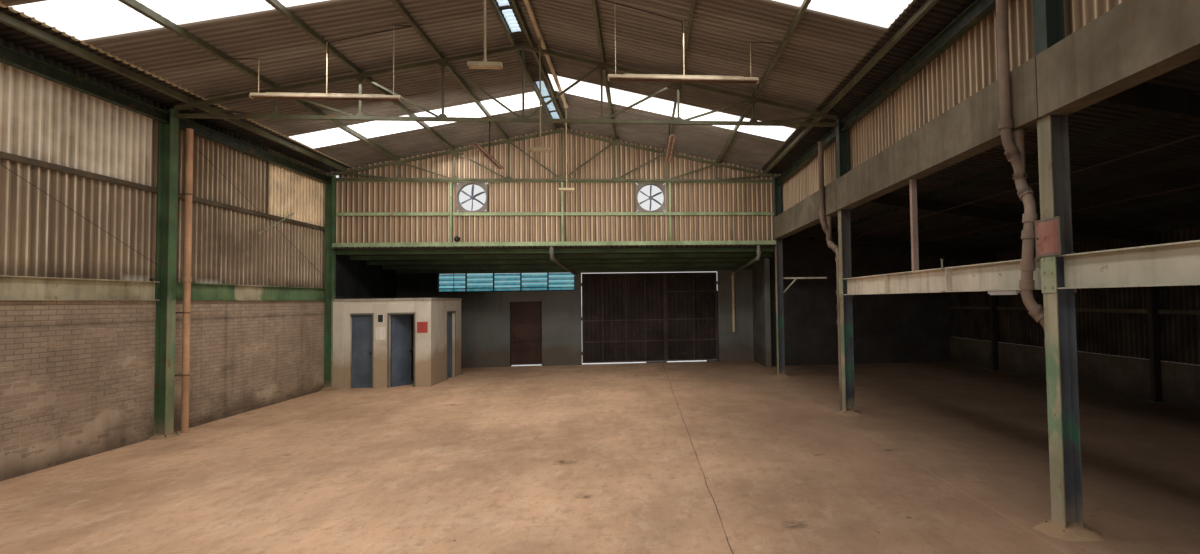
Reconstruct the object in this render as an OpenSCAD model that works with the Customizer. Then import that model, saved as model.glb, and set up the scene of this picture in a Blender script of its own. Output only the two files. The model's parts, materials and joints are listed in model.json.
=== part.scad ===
// Factory building: a steel-framed hall with one side aisle and a lean-to at the back.
// Lengths are in millimetres. The part stands on its floor slab, with the ground at Z = 0.
// Inside the modules X is measured from the ridge, Y from the front frame and Z from the floor.

/* [Frame of the hall] */
// Clear width of the hall between the inner faces of its columns
nave_w = 12950; // [12000:50:14000]
// Distance from an end frame to the next frame
end_bay = 6070; // [5400:10:6800]
// Distance between the middle frames
bay = 6490; // [5800:10:7200]
// Number of middle bays
mid_bays = 2; // [1:1:3]
// Height of the top chord's axis where the truss reaches the columns
eave_h = 6240; // [5900:10:6600]
// Distance between the chords' axes where the truss reaches the columns
heel_h = 190; // [160:10:400]
// Slope of the main roof in degrees
roof_pitch = 11.8; // [9:0.1:15]
// Depth and width of the I-section columns
col_d = 200; // [160:10:240]
// Flange thickness of the rolled sections
flange_t = 14; // [10:1:20]
// Web thickness of the rolled sections
web_t = 10; // [8:1:14]

/* [Trusses and purlins] */
// Side of the chord bars
chord_s = 70; // [50:5:90]
// Side of the web bars
web_s = 40; // [25:5:60]
// Distance from the column face to the first truss node
truss_seat = 235; // [150:5:400]
// Height of the purlins
purlin_h = 120; // [80:10:160]
// Width of the purlins
purlin_w = 60; // [40:5:80]
// Sheet thickness of purlins and girts
purlin_t = 8; // [6:1:12]

/* [Sheeting] */
// Depth of the corrugated sheets' wave
sheet_t = 40; // [30:5:60]
// How far the main roof passes its walls
roof_over = 150; // [80:10:300]
// Length of each translucent band along the roof
light_w = 1100; // [700:50:1600]
// Mean distance from each frame to the translucent bands in the bay behind it
light_first = 2350; // [2000:50:4000]
// Distance from the ridge line to the translucent bands' outer ends
light_end = 6050; // [5600:50:6200]
// How far the left slope's bands and long lamps stand behind the right slope's
slope_shift = 1200; // [0:50:1500]
// Width of the translucent strip on each side of the ridge
ridge_light_w = 180; // [100:10:300]
// Depth of the girts behind the sheeting
girt_d = 60; // [40:5:100]
// Height of the girts
girt_h = 90; // [60:10:120]
// Height of the middle girt on the left wall
girt_left_z = 4600; // [3800:10:5200]

/* [Lower walls] */
// Thickness of the block walls
wall_t = 200; // [150:10:250]
// Height of the block wall under the green beam
block_h = 2540; // [2200:10:2800]
// Height of the green beam on the block wall
wall_beam_h = 350; // [250:10:450]
// Width of the green beam
wall_beam_w = 160; // [120:10:200]
// Thickness of the floor slab
floor_t = 150; // [100:10:300]

/* [Right side of the hall] */
// Distance from the bottom chord's axis down to the plain band over the aisle
band_drop = 1170; // [1150:10:1400]
// Height of the plain band
band_h = 650; // [500:10:800]
// Thickness of the plain band
band_t = 60; // [40:5:100]
// Bottom of the middle beam between the columns
mid_beam_z = 2450; // [2200:10:2700]
// Height of the middle beam
mid_beam_h = 340; // [260:10:420]
// Side of the post that stands on the middle beam
mid_post_s = 80; // [60:5:160]

/* [Side aisle] */
// Clear width of the aisle, from the columns to its outer wall
aisle_w = 6930; // [5500:50:8000]
// How far the aisle runs past the back gable
aisle_ext = 2980; // [2600:10:4200]
// Slope of the aisle roof in degrees
aisle_pitch = 8; // [5:0.5:10]
// Height of the block wall along the outer side
plinth_h = 900; // [600:10:1200]
// Depth of the aisle rafters
rafter_h = 240; // [180:10:300]

/* [Back gable] */
// Height of the beam's underside over the annex
gable_beam_z = 4070; // [3900:10:4200]
// Height of the beam over the annex
gable_beam_h = 120; // [100:10:180]
// Distance of each fan from the ridge line
fan_x = 2650; // [2000:10:3000]
// Outer width of the square fan frames
fan_frame = 900; // [860:5:980]
// Gap between a fan frame and the girts over and under it
fan_clear = 5; // [2:1:20]
// Bore of the fan ring
fan_bore = 800; // [700:5:840]
// Depth of the fan ring
fan_depth = 160; // [120:5:220]
// Gap between the blade tips and the ring
fan_gap = 12; // [8:1:25]
// Number of blades
blades = 6; // [3:1:8]
// Diameter of the hub
hub_d = 130; // [100:5:180]

/* [Annex] */
// Clear depth of the annex behind the gable
annex_len = 5050; // [4600:10:5800]
// Slope of the annex roof in degrees
annex_pitch = 4; // [2:0.5:5]
// Left edge of the louvred window
louvre_x = -5200; // [-5600:10:-4800]
// Width of the louvred window
louvre_w = 5020; // [4600:10:5400]
// Sill height of the louvred window
louvre_z = 2820; // [2700:10:2900]
// Height of the louvred window
louvre_h = 730; // [500:10:730]
// Number of panels in the louvred window
louvre_panels = 5; // [3:1:7]
// Number of slats in each panel
louvre_slats = 8; // [4:1:10]
// Left edge of the back door
back_door_x = -2590; // [-2900:10:-2500]
// Width of the back door's opening
back_door_w = 1180; // [900:10:1200]
// Height of the back door's opening
back_door_h = 2430; // [2100:10:2500]
// Width of the pier between the window and the gate
gate_pier_w = 230; // [100:10:500]
// Width of the gate's opening
gate_w = 5270; // [4600:10:5600]
// Height of the gate's opening
gate_h = 3500; // [3000:10:3520]
// Share of the opening that the left leaf takes
gate_split = 3220; // [2400:10:3400]
// Gap left round the gate leaves and the back door
door_gap = 25; // [10:1:40]
// Gap under the gate and the back door
door_foot_gap = 50; // [20:5:80]
// Thickness of the gate leaves
gate_t = 60; // [40:5:80]

/* [Toilet block] */
// Right face of the toilet block, from the ridge line
toilet_x = -3790; // [-4200:10:-3400]
// Depth of the toilet block
toilet_d = 3020; // [2600:10:3400]
// Height of the toilet block's walls
toilet_h = 2500; // [2300:10:2600]
// Thickness of the toilet block's walls
toilet_t = 120; // [100:5:160]
// Thickness of the toilet block's roof slab
toilet_roof_t = 80; // [60:5:120]
// Height of the toilet doorways
toilet_door_h = 2110; // [1950:10:2200]
// Left edge of the first toilet doorway
toilet_a_x = -6030; // [-6060:5:-5900]
// Width of the first toilet doorway
toilet_a_w = 600; // [550:5:660]
// Left edge of the second toilet doorway
toilet_b_x = -4960; // [-5050:5:-4900]
// Width of the second toilet doorway
toilet_b_w = 690; // [600:5:720]
// Distance of the side doorway from the block's front
toilet_c_y = 1500; // [1000:10:1700]
// Width of the side doorway
toilet_c_w = 800; // [650:10:850]
// Thickness of the door leaves
leaf_t = 40; // [30:2:50]
// Gap round the toilet doors
leaf_gap = 8; // [6:1:15]
// Angle at which the second toilet door stands open, in degrees
leaf_b_open = 60; // [20:5:85]
// Angle at which the side door stands open, in degrees
leaf_c_open = 15; // [5:5:80]
// Width of the rough plastered pier at the block's left corner
rough_pier_w = 300; // [200:10:400]

/* [Pipes] */
// Diameter of the rainwater pipes
pipe_d = 120; // [100:5:150]
// Distance of the left rainwater pipes behind their frames
left_pipe_y = 340; // [260:10:600]
// Distance of the right rainwater pipes behind their frames
right_pipe_y = 450; // [400:10:700]
// The same for the pipe at the last bay
last_pipe_y = 800; // [600:10:1200]
// Diameter of the annex's drain pipes
drain_d = 110; // [75:5:110]

/* [Lamps] */
// Length of the long lamps
lamp_l = 2450; // [1800:50:2900]
// Height of the long lamps
lamp_z = 5940; // [5500:10:5980]
// Distance of the long lamps' middle from the ridge line
lamp_x = 3040; // [2500:10:3100]
// Mean distance of the long lamps behind their frames
lamp_y = 4450; // [3700:10:5000]
// Distance of the small lamps from the ridge line
pendant_x = 420; // [300:10:600]
// Height of the small lamps' underside
pendant_z = 5300; // [5200:10:5700]
// Distance between the small lamps
pendant_step = 4200; // [3800:10:4400]
// Distance of the last small lamp from the back gable's frame
pendant_last = 2420; // [2000:10:3000]
// Width of the small lamps
pendant_w = 400; // [250:10:600]
// Diameter of the conduit along the ridge
conduit_d = 80; // [40:5:90]
// Length of the twin-tube lamps
twin_l = 2100; // [1200:50:2500]
// Height of the left twin-tube lamp
twin_left_z = 5270; // [5200:10:5700]
// Height of the right twin-tube lamp
twin_right_z = 5450; // [5200:10:5700]
// Distances of the twin-tube lamps from the ridge line, to the left and to the right
twin_left_x = 660; // [400:10:1500]
twin_right_x = 2930; // [1800:10:3200]

/* [Wall plates] */
// Width of the small plate between the toilet doors
plate_a_w = 165; // [100:5:200]
// Height of the small plate
plate_a_h = 240; // [150:5:300]
// Width of the larger plate under it
plate_b_w = 270; // [200:5:400]
// Height of the larger plate
plate_b_h = 380; // [300:5:400]
// Height of the larger plate's lower edge over the floor
plate_b_z = 1380; // [1200:10:1450]
// Side of the plate beside the second toilet door
plate_c_w = 300; // [200:10:350]
// Width and height of the rusty box lid on a column
box_lid = 380; // [300:10:400]

/* [Hidden] */

steel_green = [0.33, 0.43, 0.34];
pale_green = [0.62, 0.66, 0.56];
sheet_brown = [0.55, 0.47, 0.40];
block_grey = [0.55, 0.50, 0.45];
annex_grey = [0.58, 0.60, 0.60];

seat_gap = 0.3;
nave_half = nave_w/2;
col_out = nave_half + col_d;
hall_len = 2*end_bay + mid_bays*bay;
last_frame = mid_bays + 2;
wall_out = col_out + wall_t;
sheet_in = col_out + girt_d;
sheet_out = sheet_in + sheet_t;
front_sheet_y = -col_d/2 - girt_d;
back_sheet_y = hall_len + col_d/2 + girt_d;
back_face = back_sheet_y + sheet_t;

chord_h = eave_h - heel_h;
band_z = chord_h - band_drop - band_h;
fan_z = chord_h - girt_h/2 - fan_clear - fan_frame/2;
gable_girt_z = fan_z - fan_frame/2 - fan_clear - girt_h/2;
gate_x = louvre_x + louvre_w + gate_pier_w;
panel = (nave_half - truss_seat)/4;
rise = tan(roof_pitch);
ridge_axis = eave_h + 4*panel*rise;
purlin_seat = chord_s/2/cos(roof_pitch);
sheet_seat = purlin_seat + purlin_h/cos(roof_pitch) + 2*seat_gap;
sheet_rise = sheet_t/cos(roof_pitch);
eave_x = wall_out + roof_over;
roof_front = front_sheet_y - sheet_t - roof_over;
roof_back = back_sheet_y + sheet_t + roof_over;
lap = 2;
band_joint = 10;
band_shelf = 20;
eave_beam_w = 120;
eave_beam_h = 200;
gable_post_s = 60;
annex_pier = 250;
fan_y0 = hall_len + col_d/2;
rotor_set = 60;
fan_rotor_y = fan_y0 + rotor_set;
hub_l = 60;
motor_l = 45;
shaft_d = 30;
rod_s = 12;
lamp_w = 120;
lamp_h = 90;
pendant_d = 120;
pendant_h = 60;
stem_d = 30;
twin_w = 150;
twin_h = 60;
rod_share = 0.45;
pendants_n = 6;
plate_t = 8;
plate_step = 120;
lid_t = 20;
hinge_shares = [0.12, 0.5, 0.88];
rafter_w = 120;
arm_s = 50;
arm_l = 1400;
arm_z = 3000;
arm_brace = 420;
eave_rise = 40;
beam_set_in = 60;
gutter_h = 130;
gutter_t = 10;
gutter_set = 20;
head_drop = 30;
aisle_girts = [0.35, 0.75];
stiffener_t = 12;
stiffeners = [0.33, 0.653];
louvre_bar = 30;
louvre_d = 50;
louvre_set = 60;
slat_w = 90;
slat_t = 5;
slat_angle = 50;
blade_w = 110;
blade_t = 6;
blade_angle = 28;
blade_root = 0.4*hub_d;
spider_w = 12;
spider_root = hub_d/3;
elbow_r = 6;
left_pipe_in = 30;
pipe_in = 25;
bend_drop = 110;
tee_drop = 430;
tee_l = 180;
swan_drop = 850;
pipe_reach = 210;
swan_in = 30;
swan_lift = 80;
foot_drop = 400;
drain_fall = 600;
drain_bend_left = 330;
drain_bend_right = 380;
drain_shift = 170;
drain_right_gap = 590;
drain_end_gap = 4;
drain_foot_z = 1130;
knuckle_l = 120;
leaf_rail = 50;
meet_gap = 12;
leaf_pin_r = 12;

aisle_in = col_out;
aisle_wall_x = aisle_in + aisle_w;
aisle_out = aisle_wall_x + wall_t;
aisle_rise = tan(aisle_pitch);
aisle_flash = 20;
aisle_top = band_z + band_h - aisle_flash;
aisle_back = hall_len + aisle_ext;
aisle_eave_x = aisle_out + roof_over;
aisle_post = 160;
aisle_sheet = sheet_t/cos(aisle_pitch);
girt_top_z = chord_h - girt_h/2;
girt_mid_z = gable_girt_z + girt_h/2;

annex_back = hall_len + annex_len;
annex_rise = tan(annex_pitch);
annex_sheet = sheet_t/cos(annex_pitch);
annex_nose = 60;
annex_top = gable_beam_z - (col_d/2 + annex_nose)*annex_rise - seat_gap;
annex_wall_z = annex_top - annex_sheet - (annex_len + wall_t)*annex_rise;
annex_front = hall_len - col_d/2 - annex_nose;
annex_eave = annex_back + wall_t + roof_over;
toilet_gap = 30;
toilet_nose = 20;
rough_pier_t = 60;
toilet_front = hall_len + toilet_gap;

mid_x = (aisle_eave_x - eave_x)/2;
mid_y = (roof_front + annex_eave)/2;

// Height of the top chord's axis at a distance from the ridge line
function chord_z(x) = ridge_axis - abs(x)*rise;
// Height of the aisle roof's top face at a place across the hall
function aisle_z(x) = aisle_top - (x - aisle_in)*aisle_rise;
// Height of the annex roof's top face at a place along the building
function annex_z(y) = annex_top - (y - hall_len)*annex_rise;
// Place of a frame along the hall
function frame_y(i) = i == 0 ? 0 : i == last_frame ? hall_len : end_bay + (i - 1)*bay;
// Half the difference between the slopes: back on the left, forward on the right
function slope_y(side) = -side*slope_shift/2;
// Starts of the translucent bands
function light_y(i, side) = frame_y(i) + light_first + slope_y(side);

module placed() {
    translate([-mid_x, -mid_y, floor_t]) children();
}

module box(x, y, z) {
    translate([x[0], y[0], z[0]]) cube([x[1] - x[0], y[1] - y[0], z[1] - z[0]]);
}

// An outline drawn in X and Z, carried from y0 to y1
module along_y(y0, y1) {
    translate([0, y1, 0]) rotate([90, 0, 0]) linear_extrude(y1 - y0) children();
}

// An outline drawn in Y and Z, carried from x0 to x1
module along_x(x0, x1) {
    translate([x0, 0, 0]) rotate([90, 0, 90]) linear_extrude(x1 - x0) children();
}

// I-section with its web upright, centred on the origin
module i_outline(w, h) {
    translate([-w/2, -h/2]) square([w, flange_t]);
    translate([-w/2, h/2 - flange_t]) square([w, flange_t]);
    translate([-web_t/2, -h/2]) square([web_t, h]);
}

// Channel that opens to the right, with its back on x = 0 and its foot on y = 0
module c_outline(w, h) {
    square([purlin_t, h]);
    square([w, purlin_t]);
    translate([0, h - purlin_t]) square([w, purlin_t]);
}

// Outline of a bar between two points of a truss
module bar(a, b, s) {
    translate(a) rotate(atan2(b[1] - a[1], b[0] - a[0])) translate([0, -s/2]) square([norm(b - a), s]);
}

// Outline of the two top chords
module top_chords() {
    polygon([
        [-nave_half, chord_z(nave_half) - purlin_seat],
        [0, chord_z(0) - purlin_seat],
        [nave_half, chord_z(nave_half) - purlin_seat],
        [nave_half, chord_z(nave_half) + purlin_seat],
        [0, chord_z(0) + purlin_seat],
        [-nave_half, chord_z(nave_half) + purlin_seat]]);
}

// One roof truss at y = 0, its bars fused where they meet
module truss() {
    along_y(-chord_s/2, chord_s/2) top_chords();
    along_y(-chord_s/2, chord_s/2)
        translate([-nave_half, chord_h - chord_s/2]) square([nave_w, chord_s]);
    along_y(-web_s/2, web_s/2) {
        bar([0, chord_h], [0, chord_z(0)], web_s);
        for (side = [-1, 1], i = [1:4]) {
            if (i < 4) bar([side*i*panel, chord_h], [side*i*panel, chord_z(i*panel)], web_s);
            bar([side*(i - 1)*panel, chord_h], [side*i*panel, chord_z(i*panel)], web_s);
        }
    }
}

// Strip of the main roof from one distance to another on the side of the ridge
module roof_strip(side, d0, d1, y0, y1) {
    along_y(y0, y1) polygon([
        [side*d0, chord_z(d0) + sheet_seat],
        [side*d1, chord_z(d1) + sheet_seat],
        [side*d1, chord_z(d1) + sheet_seat + sheet_rise],
        [side*d0, chord_z(d0) + sheet_seat + sheet_rise]]);
}

// Sheets of one slope, open where the translucent bands lie
module sheet_runs(side) {
    x = [side*ridge_light_w, side*(light_end + lap)];
    difference() {
        roof_strip(side, ridge_light_w + lap, eave_x, roof_front, roof_back);
        for (i = [0:last_frame - 1])
            box([min(x), max(x)], [light_y(i, side) - lap, light_y(i, side) + light_w + lap],
                [chord_h, chord_z(0) + sheet_seat + 2*sheet_rise]);
    }
}

module light_runs(side) {
    for (i = [0:last_frame - 1])
        roof_strip(side, ridge_light_w + lap, light_end, light_y(i, side),
            light_y(i, side) + light_w);
}

module purlins(side) {
    for (i = [0:4]) {
        x = i == 0 ? ridge_light_w - purlin_w/2 : i*panel;
        translate([side*x, 0, chord_z(x) + purlin_seat + seat_gap])
            mirror([side < 0 ? 1 : 0, 0, 0])
                rotate([0, roof_pitch, 0])
                    along_y(front_sheet_y, back_sheet_y)
                        translate([i == 4 ? -purlin_w : 0, 0]) c_outline(purlin_w, purlin_h);
    }
}

module floor_slab() {
    color("tan") placed() {
        box([-wall_out, aisle_out], [-col_d/2 - wall_t, aisle_back + wall_t], [-floor_t, 0]);
        box([-wall_out, aisle_in + wall_t], [aisle_back, annex_back + wall_t], [-floor_t, 0]);
    }
}

module side_block_walls() {
    color(block_grey) placed() {
        box([-wall_out, -col_out], [-col_d/2, back_face], [0, block_h]);
        box([aisle_wall_x, aisle_out], [-col_d/2, aisle_back], [0, plinth_h]);
    }
}

module front_block_wall() {
    color(block_grey) placed()
        box([-wall_out, aisle_out], [-col_d/2 - wall_t, -col_d/2], [0, block_h]);
}

// I-section column from the floor to the roof, with its flanges across the hall
module column(x, y, top) {
    translate([x, y, 0]) linear_extrude(top) rotate(90) i_outline(col_d, col_d);
}

function column_top() = chord_z(col_out) + purlin_seat - head_drop;

module left_columns() {
    color(steel_green) placed()
        for (i = [0:last_frame]) column(-nave_half - col_d/2, frame_y(i), column_top());
}

module right_columns() {
    color(pale_green) placed()
        for (i = [0:last_frame]) column(nave_half + col_d/2, frame_y(i), column_top());
}

// Beams on the block walls, and the ones that join the column heads under the eaves
module side_beams() {
    x = -col_out - wall_beam_w/2 + beam_set_in;
    color(pale_green) placed() {
        for (i = [0:last_frame - 1])
            along_y(frame_y(i) + col_d/2 + lap, frame_y(i + 1) - col_d/2 - lap)
                translate([x, block_h + wall_beam_h/2]) i_outline(wall_beam_w, wall_beam_h);
        along_x(-wall_out + wall_t/2, aisle_wall_x)
            translate([-col_d/2 - wall_t/2, block_h + wall_beam_h/2])
                i_outline(wall_beam_w, wall_beam_h);
        for (side = [-1, 1], i = [0:last_frame - 1])
            along_y(frame_y(i) + web_t/2, frame_y(i + 1) - web_t/2)
                translate([side*(nave_half + col_d/2), chord_h - eave_beam_h/2 + eave_rise])
                    i_outline(eave_beam_w, eave_beam_h);
    }
}

module left_cladding() {
    color(sheet_brown) placed()
        box([-sheet_out, -sheet_in], [front_sheet_y, back_sheet_y],
            [block_h + wall_beam_h, chord_z(sheet_out) + sheet_seat - lap]);
}

// Roof line of the hall's end walls, from one side to the other
function roof_line(half) = [
    [half, chord_z(half) + sheet_seat - lap],
    [0, chord_z(0) + sheet_seat - lap],
    [-half, chord_z(half) + sheet_seat - lap]];

// The hall's part is notched where the aisle roof meets it
module front_cladding() {
    z0 = block_h + wall_beam_h;
    color(sheet_brown) placed()
        along_y(front_sheet_y - sheet_t, front_sheet_y) {
            polygon(concat([[-sheet_out, z0], [aisle_in, z0], [aisle_in, aisle_top],
                [sheet_out, aisle_top]], roof_line(sheet_out)));
            polygon([
                [aisle_in + lap, z0],
                [aisle_out, z0],
                [aisle_out, aisle_z(aisle_out) - aisle_sheet - lap],
                [aisle_in + lap, aisle_z(aisle_in) - aisle_sheet - lap]]);
        }
}

// Girt along the building whose back lies on the plane x, on the side away from the ridge
module side_girt(x, side, z, y1) {
    along_y(-col_d/2, y1)
        translate([x, z]) mirror([side < 0 ? 1 : 0, 0]) c_outline(girt_d, girt_h);
}

// Girt across the hall whose back lies on the plane y
module end_girt(y, side, z) {
    along_x(-nave_half - col_d/2, nave_half + col_d/2)
        translate([y, z]) mirror([side < 0 ? 1 : 0, 0]) c_outline(girt_d, girt_h);
}

module wall_girts() {
    hall_y = hall_len + col_d/2;
    color(steel_green) placed() {
        side_girt(-col_out, -1, girt_left_z - girt_h/2, hall_y);
        side_girt(-col_out, -1, chord_h - girt_h, hall_y);
        side_girt(col_out, 1, aisle_top + aisle_flash, hall_y);
        side_girt(col_out, 1, chord_h - girt_h, hall_y);
        for (share = aisle_girts)
            side_girt(aisle_wall_x, 1, plinth_h + share*(aisle_z(aisle_out) - plinth_h), aisle_back);
        for (z = [girt_left_z - girt_h/2, gable_girt_z + girt_h, girt_top_z])
            end_girt(-col_d/2, -1, z);
    }
}

module roof_trusses() {
    color(steel_green) placed()
        for (i = [0:last_frame]) translate([0, frame_y(i), 0]) truss();
}

module roof_purlins() {
    color(steel_green) placed() {
        purlins(-1);
        purlins(1);
    }
}

module roof_sheets() {
    color(sheet_brown) placed() {
        sheet_runs(-1);
        sheet_runs(1);
    }
}

// Translucent bands across both slopes, and the strip that runs along the ridge
module skylights() {
    w = ridge_light_w;
    z = chord_z(w) + sheet_seat;
    color("white") placed() {
        light_runs(-1);
        light_runs(1);
        along_y(roof_front, roof_back) polygon([
            [-w, z],
            [0, chord_z(0) + sheet_seat],
            [w, z],
            [w, z + sheet_rise],
            [0, chord_z(0) + sheet_seat + sheet_rise],
            [-w, z + sheet_rise]]);
    }
}

// Box gutter outside the eave, open at the top
module gutter(x0, x1, z) {
    along_y(roof_front + roof_over, roof_back - roof_over) difference() {
        translate([x0, z - gutter_h]) square([x1 - x0, gutter_h]);
        translate([x0 + gutter_t, z - gutter_h + gutter_t]) square([x1 - x0 - 2*gutter_t, gutter_h]);
    }
}

module eave_gutters() {
    top = chord_z(eave_x) + sheet_seat - lap;
    color(steel_green) placed() {
        gutter(-eave_x + gutter_set, -sheet_out, top - gutter_t);
        gutter(sheet_out, eave_x - gutter_set, top - gutter_t);
    }
}

// Sheeting over the aisle roof, on the aisle's outer wall, and over the annex roof
module right_cladding() {
    x = aisle_wall_x + girt_d;
    color(sheet_brown) placed() {
        box([sheet_in, sheet_out], [front_sheet_y, back_sheet_y],
            [aisle_top, chord_z(sheet_out) + sheet_seat - lap]);
        box([x, x + sheet_t], [-col_d/2, aisle_back],
            [plinth_h, aisle_z(x + sheet_t) - aisle_sheet - lap]);
        box([aisle_in, aisle_in + sheet_t], [back_face, aisle_back],
            [annex_top, aisle_z(aisle_in + sheet_t) - aisle_sheet - purlin_h - 2*seat_gap]);
    }
}

// Plain band over the aisle, with a shelf under it that reaches back between the columns
module fascia_band() {
    color(pale_green) placed()
        for (i = [0:last_frame - 1]) {
            box([nave_half - band_t, col_out], [frame_y(i) + col_d/2, frame_y(i + 1) - col_d/2],
                [band_z, band_z + band_shelf]);
            box([nave_half - band_t, nave_half],
                [frame_y(i) + band_joint, frame_y(i + 1) - band_joint],
                [band_z, band_z + band_h]);
        }
}

// Beams with web stiffeners between the columns, and the braced arm behind the last column
module mid_beams() {
    w = col_d - 2*flange_t;
    x = nave_half + col_d/2;
    arm_y = [hall_len - arm_s/2, hall_len + arm_s/2];
    color(pale_green) placed() {
        for (i = [0:last_frame - 2]) {
            along_y(frame_y(i) + col_d/2, frame_y(i + 1) - col_d/2)
                translate([x, mid_beam_z + mid_beam_h/2]) i_outline(w, mid_beam_h);
            for (share = stiffeners) {
                y = frame_y(i) + share*(frame_y(i + 1) - frame_y(i));
                box([x - w/2, x + w/2], [y - stiffener_t/2, y + stiffener_t/2],
                    [mid_beam_z + flange_t/2, mid_beam_z + mid_beam_h - flange_t/2]);
            }
        }
        box([col_out, col_out + arm_l], arm_y, [arm_z, arm_z + arm_s]);
        along_y(arm_y[0], arm_y[1]) polygon([
            [col_out, arm_z - arm_brace],
            [col_out + arm_s, arm_z - arm_brace],
            [col_out + arm_brace + arm_s, arm_z + arm_s/2],
            [col_out + arm_brace, arm_z + arm_s/2]]);
    }
}

module aisle_strip(x0, x1, y0, y1, top_drop, depth) {
    along_y(y0, y1) polygon([
        [x0, aisle_z(x0) - top_drop],
        [x1, aisle_z(x1) - top_drop],
        [x1, aisle_z(x1) - top_drop - depth],
        [x0, aisle_z(x0) - top_drop - depth]]);
}

module aisle_roof() {
    color(sheet_brown) placed()
        aisle_strip(aisle_in, aisle_eave_x, roof_front, aisle_back + wall_t + roof_over, 0, aisle_sheet);
}

module aisle_rafters() {
    drop = aisle_sheet + purlin_h + 2*seat_gap;
    color(steel_green) placed()
        for (i = [0:last_frame])
            aisle_strip(aisle_in, aisle_wall_x, frame_y(i) - rafter_w/2, frame_y(i) + rafter_w/2,
                drop, rafter_h);
}

// Purlins of the aisle along the building, and of the annex across it
module lean_to_purlins() {
    color(steel_green) placed() {
        for (i = [0:4]) {
            x = aisle_in + i*(aisle_w - purlin_w)/4;
            aisle_strip(x, x + purlin_w, -col_d/2, aisle_back, aisle_sheet + seat_gap, purlin_h);
        }
        for (i = [0:4]) {
            y = back_face + i*(annex_back - back_face - purlin_w)/4;
            drop = annex_sheet + seat_gap;
            along_x(-col_out, aisle_in) polygon([
                [y, annex_z(y) - drop],
                [y + purlin_w, annex_z(y + purlin_w) - drop],
                [y + purlin_w, annex_z(y + purlin_w) - drop - purlin_h],
                [y, annex_z(y) - drop - purlin_h]]);
        }
    }
}

// Posts along the aisle's outer wall, and the ones that stand on the middle beams
module aisle_posts() {
    mid_x = nave_half + col_d/2;
    color(pale_green) placed() {
        for (i = [0:last_frame])
            box([aisle_wall_x - aisle_post, aisle_wall_x],
                [frame_y(i) - rafter_w/2, frame_y(i) + rafter_w/2],
                [0, aisle_z(aisle_wall_x) - aisle_sheet - purlin_h - rafter_h - 3*seat_gap]);
        for (i = [0:last_frame - 2]) {
            y = (frame_y(i) + frame_y(i + 1))/2;
            box([mid_x - mid_post_s/2, mid_x + mid_post_s/2], [y - mid_post_s/2, y + mid_post_s/2],
                [mid_beam_z + mid_beam_h, band_z]);
        }
    }
}

module aisle_back_wall() {
    x0 = aisle_in + wall_t;
    color(annex_grey) placed()
        along_y(aisle_back, aisle_back + wall_t) polygon([
            [x0, 0],
            [aisle_out, 0],
            [aisle_out, aisle_z(aisle_out) - aisle_sheet - seat_gap],
            [aisle_in, aisle_z(aisle_in) - aisle_sheet - seat_gap],
            [aisle_in, annex_z(aisle_back) + seat_gap],
            [x0, annex_z(aisle_back) + seat_gap]]);
}

// Sheeting of the back gable under and over the fans
module gable_cladding() {
    z0 = gable_beam_z + gable_beam_h;
    color(sheet_brown) placed()
        along_y(back_sheet_y, back_face) {
            polygon([[-sheet_out, z0], [aisle_in, z0], [aisle_in, aisle_top], [sheet_out, aisle_top],
                [sheet_out, girt_mid_z], [-sheet_out, girt_mid_z]]);
            polygon(concat([[-sheet_out, girt_top_z], [sheet_out, girt_top_z]], roof_line(sheet_out)));
        }
}

// Sheeting of the back gable beside the fans
module gable_cladding_mid() {
    edges = [-sheet_out, -fan_x - fan_frame/2, -fan_x + fan_frame/2,
        fan_x - fan_frame/2, fan_x + fan_frame/2, sheet_out];
    color(sheet_brown) placed()
        for (i = [0:2])
            box([edges[2*i], edges[2*i + 1]], [back_sheet_y, back_face], [girt_mid_z, girt_top_z]);
}

module gable_frame() {
    face = hall_len + col_d/2;
    color(steel_green) placed() {
        end_girt(face, 1, gable_girt_z - girt_h/2);
        end_girt(face, 1, girt_top_z);
        box([-nave_half, nave_half], [hall_len - col_d/2, back_face],
            [gable_beam_z, gable_beam_z + gable_beam_h]);
        for (x = [-nave_half/2, 0, nave_half/2])
            box([x - gable_post_s/2, x + gable_post_s/2], [face - gable_post_s, face],
                [gable_beam_z + gable_beam_h, chord_h - chord_s/2]);
    }
}

module annex_wall(x, z) {
    box(x, [annex_back, annex_back + wall_t], z);
}

module annex_wall_piers() {
    color(annex_grey) placed() {
        annex_wall([-wall_out, louvre_x], [0, annex_wall_z]);
        annex_wall([louvre_x + louvre_w, gate_x], [0, annex_wall_z]);
        annex_wall([gate_x + gate_w, aisle_in + wall_t], [0, annex_wall_z]);
    }
}

// Side wall of the annex with its top under the roof sheets
module annex_side(x0, y0) {
    along_x(x0, x0 + wall_t) polygon([
        [y0, 0],
        [annex_back, 0],
        [annex_back, annex_z(annex_back) - annex_sheet - seat_gap],
        [y0, annex_z(y0) - annex_sheet - seat_gap]]);
}

module annex_walls() {
    color(annex_grey) placed() {
        annex_wall([louvre_x, back_door_x], [0, louvre_z]);
        annex_wall([back_door_x + back_door_w, louvre_x + louvre_w], [0, louvre_z]);
        annex_side(-wall_out, back_face);
        annex_side(aisle_in, aisle_back - annex_pier);
    }
}

// Walling over the back door, the window, the gate and the toilet doorways
module lintels() {
    y = [toilet_front, toilet_front + toilet_t];
    z = [toilet_door_h, toilet_h];
    c0 = toilet_front + toilet_c_y;
    color(annex_grey) placed() {
        annex_wall([back_door_x, back_door_x + back_door_w], [back_door_h, louvre_z]);
        annex_wall([louvre_x, louvre_x + louvre_w], [louvre_z + louvre_h, annex_wall_z]);
        annex_wall([gate_x, gate_x + gate_w], [gate_h, annex_wall_z]);
        box([toilet_a_x, toilet_a_x + toilet_a_w], y, z);
        box([toilet_b_x, toilet_b_x + toilet_b_w], y, z);
        box([toilet_x - toilet_t, toilet_x], [c0, c0 + toilet_c_w], z);
    }
}

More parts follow.
